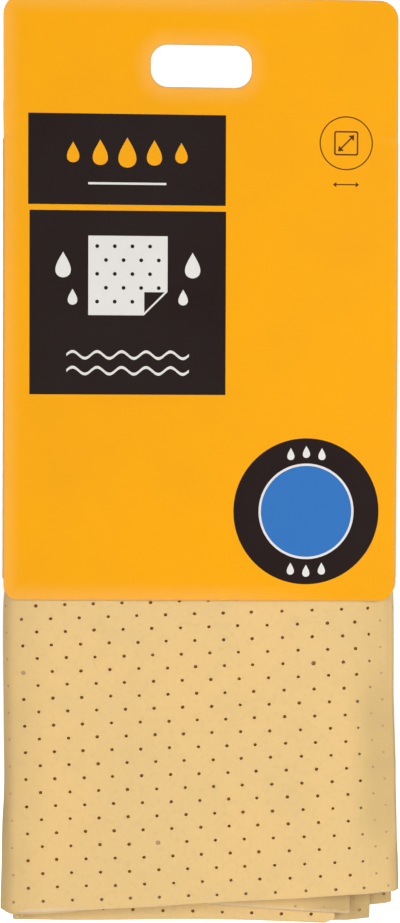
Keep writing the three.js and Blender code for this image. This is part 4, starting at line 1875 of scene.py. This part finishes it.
    def build(self) -> bpy.types.Object:
        """Makes the punched cloth as a plain mesh.

        Returns:
            The piece.
        """
        sheet, guide = self.sheet()
        tree = self.punch_tree()
        punch = sheet.modifiers.new("punch", "NODES")
        punch.node_group = tree
        finishes = (("Cloth finish", ChamoisNap()),
                    ("Hole finish", PunchedWall("punched_wall", srgb(238, 182, 62), srgb(206, 150, 36))),
                    ("Pit finish", PunchedWall("punched_pit", srgb(222, 194, 132), srgb(198, 168, 106))),
                    ("Plug finish", PunchedWall("punch_plug", srgb(190, 160, 120), srgb(166, 134, 96))))
        values = {"Guide": guide, "Row pitch": self.row_pitch * MM, "Hole radius": self.hole_radius * MM,
                  "Scatter": self.scatter * MM, "Hole sides": self.hole_sides, "Seed": self.seed,
                  **{name: [part * MM for part in spot] for name, spot in zip(ODD_HOLES, self.odd_holes)},
                  **{name: finish.build() for name, finish in finishes}}
        for item in tree.interface.items_tree:
            if item.in_out == "INPUT" and item.name in values:
                punch[item.identifier] = values[item.name]
        shown = bpy.context.evaluated_depsgraph_get()
        mesh = bpy.data.meshes.new_from_object(sheet.evaluated_get(shown), depsgraph=shown)
        sheet.modifiers.remove(punch)
        for spare in (sheet, guide):
            bpy.data.objects.remove(spare)
        mesh.polygons.foreach_set("use_smooth", [True] * len(mesh.polygons))
        mesh.set_sharp_from_angle(angle=math.radians(self.sharp_angle))
        self.soften(mesh, values["Cloth finish"].name)
        return linked("chamois_sheet", mesh)

    def soften(self, mesh: bpy.types.Mesh, finish: str) -> None:
        """Gives the punched faces the whole sheet's normals, so that its folds shade evenly round the holes.

        Args:
            mesh: The punched mesh, with the sheet's normals in its attribute "soft".
            finish: The finish of the faces that take them.
        """
        corners = np.empty(len(mesh.loops), np.int32)
        mesh.loops.foreach_get("vertex_index", corners)
        soft = np.empty(len(mesh.vertices) * 3, np.float32)
        mesh.attributes["soft"].data.foreach_get("vector", soft)
        slots, sizes = (np.empty(len(mesh.polygons), np.int32) for _ in range(2))
        mesh.polygons.foreach_get("material_index", slots)
        mesh.polygons.foreach_get("loop_total", sizes)
        normals = unit(soft.reshape(-1, 3)[corners])
        normals[np.repeat(slots, sizes) != mesh.materials.find(finish)] = 0
        mesh.normals_split_custom_set(normals.tolist())
        mesh.attributes.remove(mesh.attributes["soft"])

    def dress(self) -> bpy.types.Object:
        """Builds the cloth and puts it in the solid's place.

        Returns:
            The piece.
        """
        piece = self.build()
        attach(piece, "cloth")
        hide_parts("chamois_cloth")
        return piece


@dataclass
class Studio:
    """The pale floor, the soft lights and the camera.

    Attributes:
        distance: From the camera to the point it looks at, in metres.
        yaw: How far the camera stands to the left, in degrees.
        pitch: How far it looks down, in degrees.
        roll: How far the picture is turned clockwise, in degrees.
        target: The point it looks at.
        frame_height: The height that the picture takes in at that point.
        sensor: The width of the camera's sensor, in millimetres.
        floor_level: The floor, clear of the cloth when it is pulled out.
        floor_reach: Half the side of the floor.
        ambient: How bright the surroundings are as a light.
        backdrop: How bright they are where the camera sees them.
        lights: Each light's name, place from the point that the camera looks at, side in metres, power in
            watts and colour.
    """

    distance: float = 0.65
    yaw: float = 4.01
    pitch: float = 1.64
    roll: float = 0.223
    target: tuple[float, float, float] = (0.00005, 0.0, -0.12564)
    frame_height: float = 0.29536
    sensor: float = 36.0
    floor_level: float = -0.46
    floor_reach: float = 8.0
    ambient: float = 0.45
    backdrop: float = 1.1
    lights: tuple[tuple[str, tuple[float, float, float], float, float, Colour], ...] = (
        ("right", (0.7, -0.68, 0.12), 0.5, 5.8, (1.0, 0.99, 0.98)),
        ("left", (-0.7, -0.68, 0.06), 0.5, 3.35, (1.0, 0.99, 0.98)),
        ("back", (0.3, 1.1, 0.6), 0.8, 5.5, (1.0, 1.0, 1.0)))

    def camera(self) -> None:
        """Puts the camera at the photograph's angle."""
        yaw, pitch, roll = (math.radians(a) for a in (self.yaw, self.pitch, self.roll))
        ahead = Vector((math.sin(yaw) * math.cos(pitch), math.cos(yaw) * math.cos(pitch), -math.sin(pitch)))
        right = Vector((math.cos(yaw), -math.sin(yaw), 0))
        up = right.cross(ahead)
        across = right * math.cos(roll) + up * math.sin(roll)
        rise = up * math.cos(roll) - right * math.sin(roll)
        data = bpy.data.cameras.new("camera")
        data.sensor_fit, data.sensor_width = "AUTO", self.sensor
        data.lens = self.sensor * self.distance / self.frame_height
        data.clip_start, data.clip_end = 0.01, 100
        camera = linked("camera", data)
        turn = Matrix((across, rise, -ahead)).transposed().to_4x4()
        camera.matrix_world = Matrix.Translation(Vector(self.target) - ahead * self.distance) @ turn
        bpy.context.scene.camera = camera

    def light(self, name: str, place: tuple[float, float, float], size: float, power: float,
              colour: Colour) -> None:
        """Sets up one soft square light that faces the object.

        Args:
            name: Its name.
            place: Where it stands, from the point that the camera looks at.
            size: Its side in metres.
            power: Its power in watts.
            colour: Its colour.
        """
        data = bpy.data.lights.new(name, "AREA")
        data.shape, data.size, data.energy, data.color = "SQUARE", size, power, colour
        light = linked(name, data)
        light.location = Vector(self.target) + Vector(place)
        light.rotation_mode = "QUATERNION"
        light.rotation_quaternion = (-Vector(place)).to_track_quat("-Z", "Y")

    def world(self) -> None:
        """Surrounds the scene with even white, a little dimmer as a light than as a background."""
        world = bpy.data.worlds.new("studio")
        bpy.context.scene.world = world
        world.use_nodes = True
        world.node_tree.nodes.clear()
        bench = Bench(world.node_tree)
        even, behind = (bench.out("ShaderNodeBackground", {"Color": (1.0, 1.0, 1.0), "Strength": strength})
                        for strength in (self.ambient, self.backdrop))
        seen = bench.out("ShaderNodeLightPath", output="Is Camera Ray")
        both = bench.out("ShaderNodeMixShader", {0: seen, 1: even, 2: behind})
        bench.add("ShaderNodeOutputWorld", {"Surface": both})

    def floor(self) -> None:
        """Lays the floor under the hanging pack."""
        reach = self.floor_reach
        mesh = bpy.data.meshes.new("floor")
        mesh.from_pydata([(x, y, self.floor_level) for x, y in Outlines.box(-reach, reach, -reach, reach)],
                         [], [(0, 1, 2, 3)])
        mesh.materials.append(FloorFinish().build())
        floor = linked("floor", mesh)

    def build(self) -> None:
        """Sets up the floor, the lights, the camera and the way the picture is developed."""
        self.floor()
        self.world()
        for light in self.lights:
            self.light(*light)
        self.camera()
        view = bpy.context.scene.view_settings
        view.view_transform, view.look, view.exposure, view.gamma = "Standard", "None", 0.0, 1.0


def main() -> None:
    """Dresses the pack piece by piece and sets up the studio."""
    logging.basicConfig(level=logging.INFO, format="%(name)s: %(message)s")
    pieces = [CardSleeve().dress(), *PaperGlue().dress(), ChamoisCloth().dress()]
    for piece in pieces:
        mesh = piece.data
        mesh.calc_loop_triangles()
        LOG.info("%s: %d triangles, %s", piece.name, len(mesh.loop_triangles),
                 ", ".join(m.name for m in mesh.materials if m))
    Studio().build()


if __name__ == "__main__":
    main()
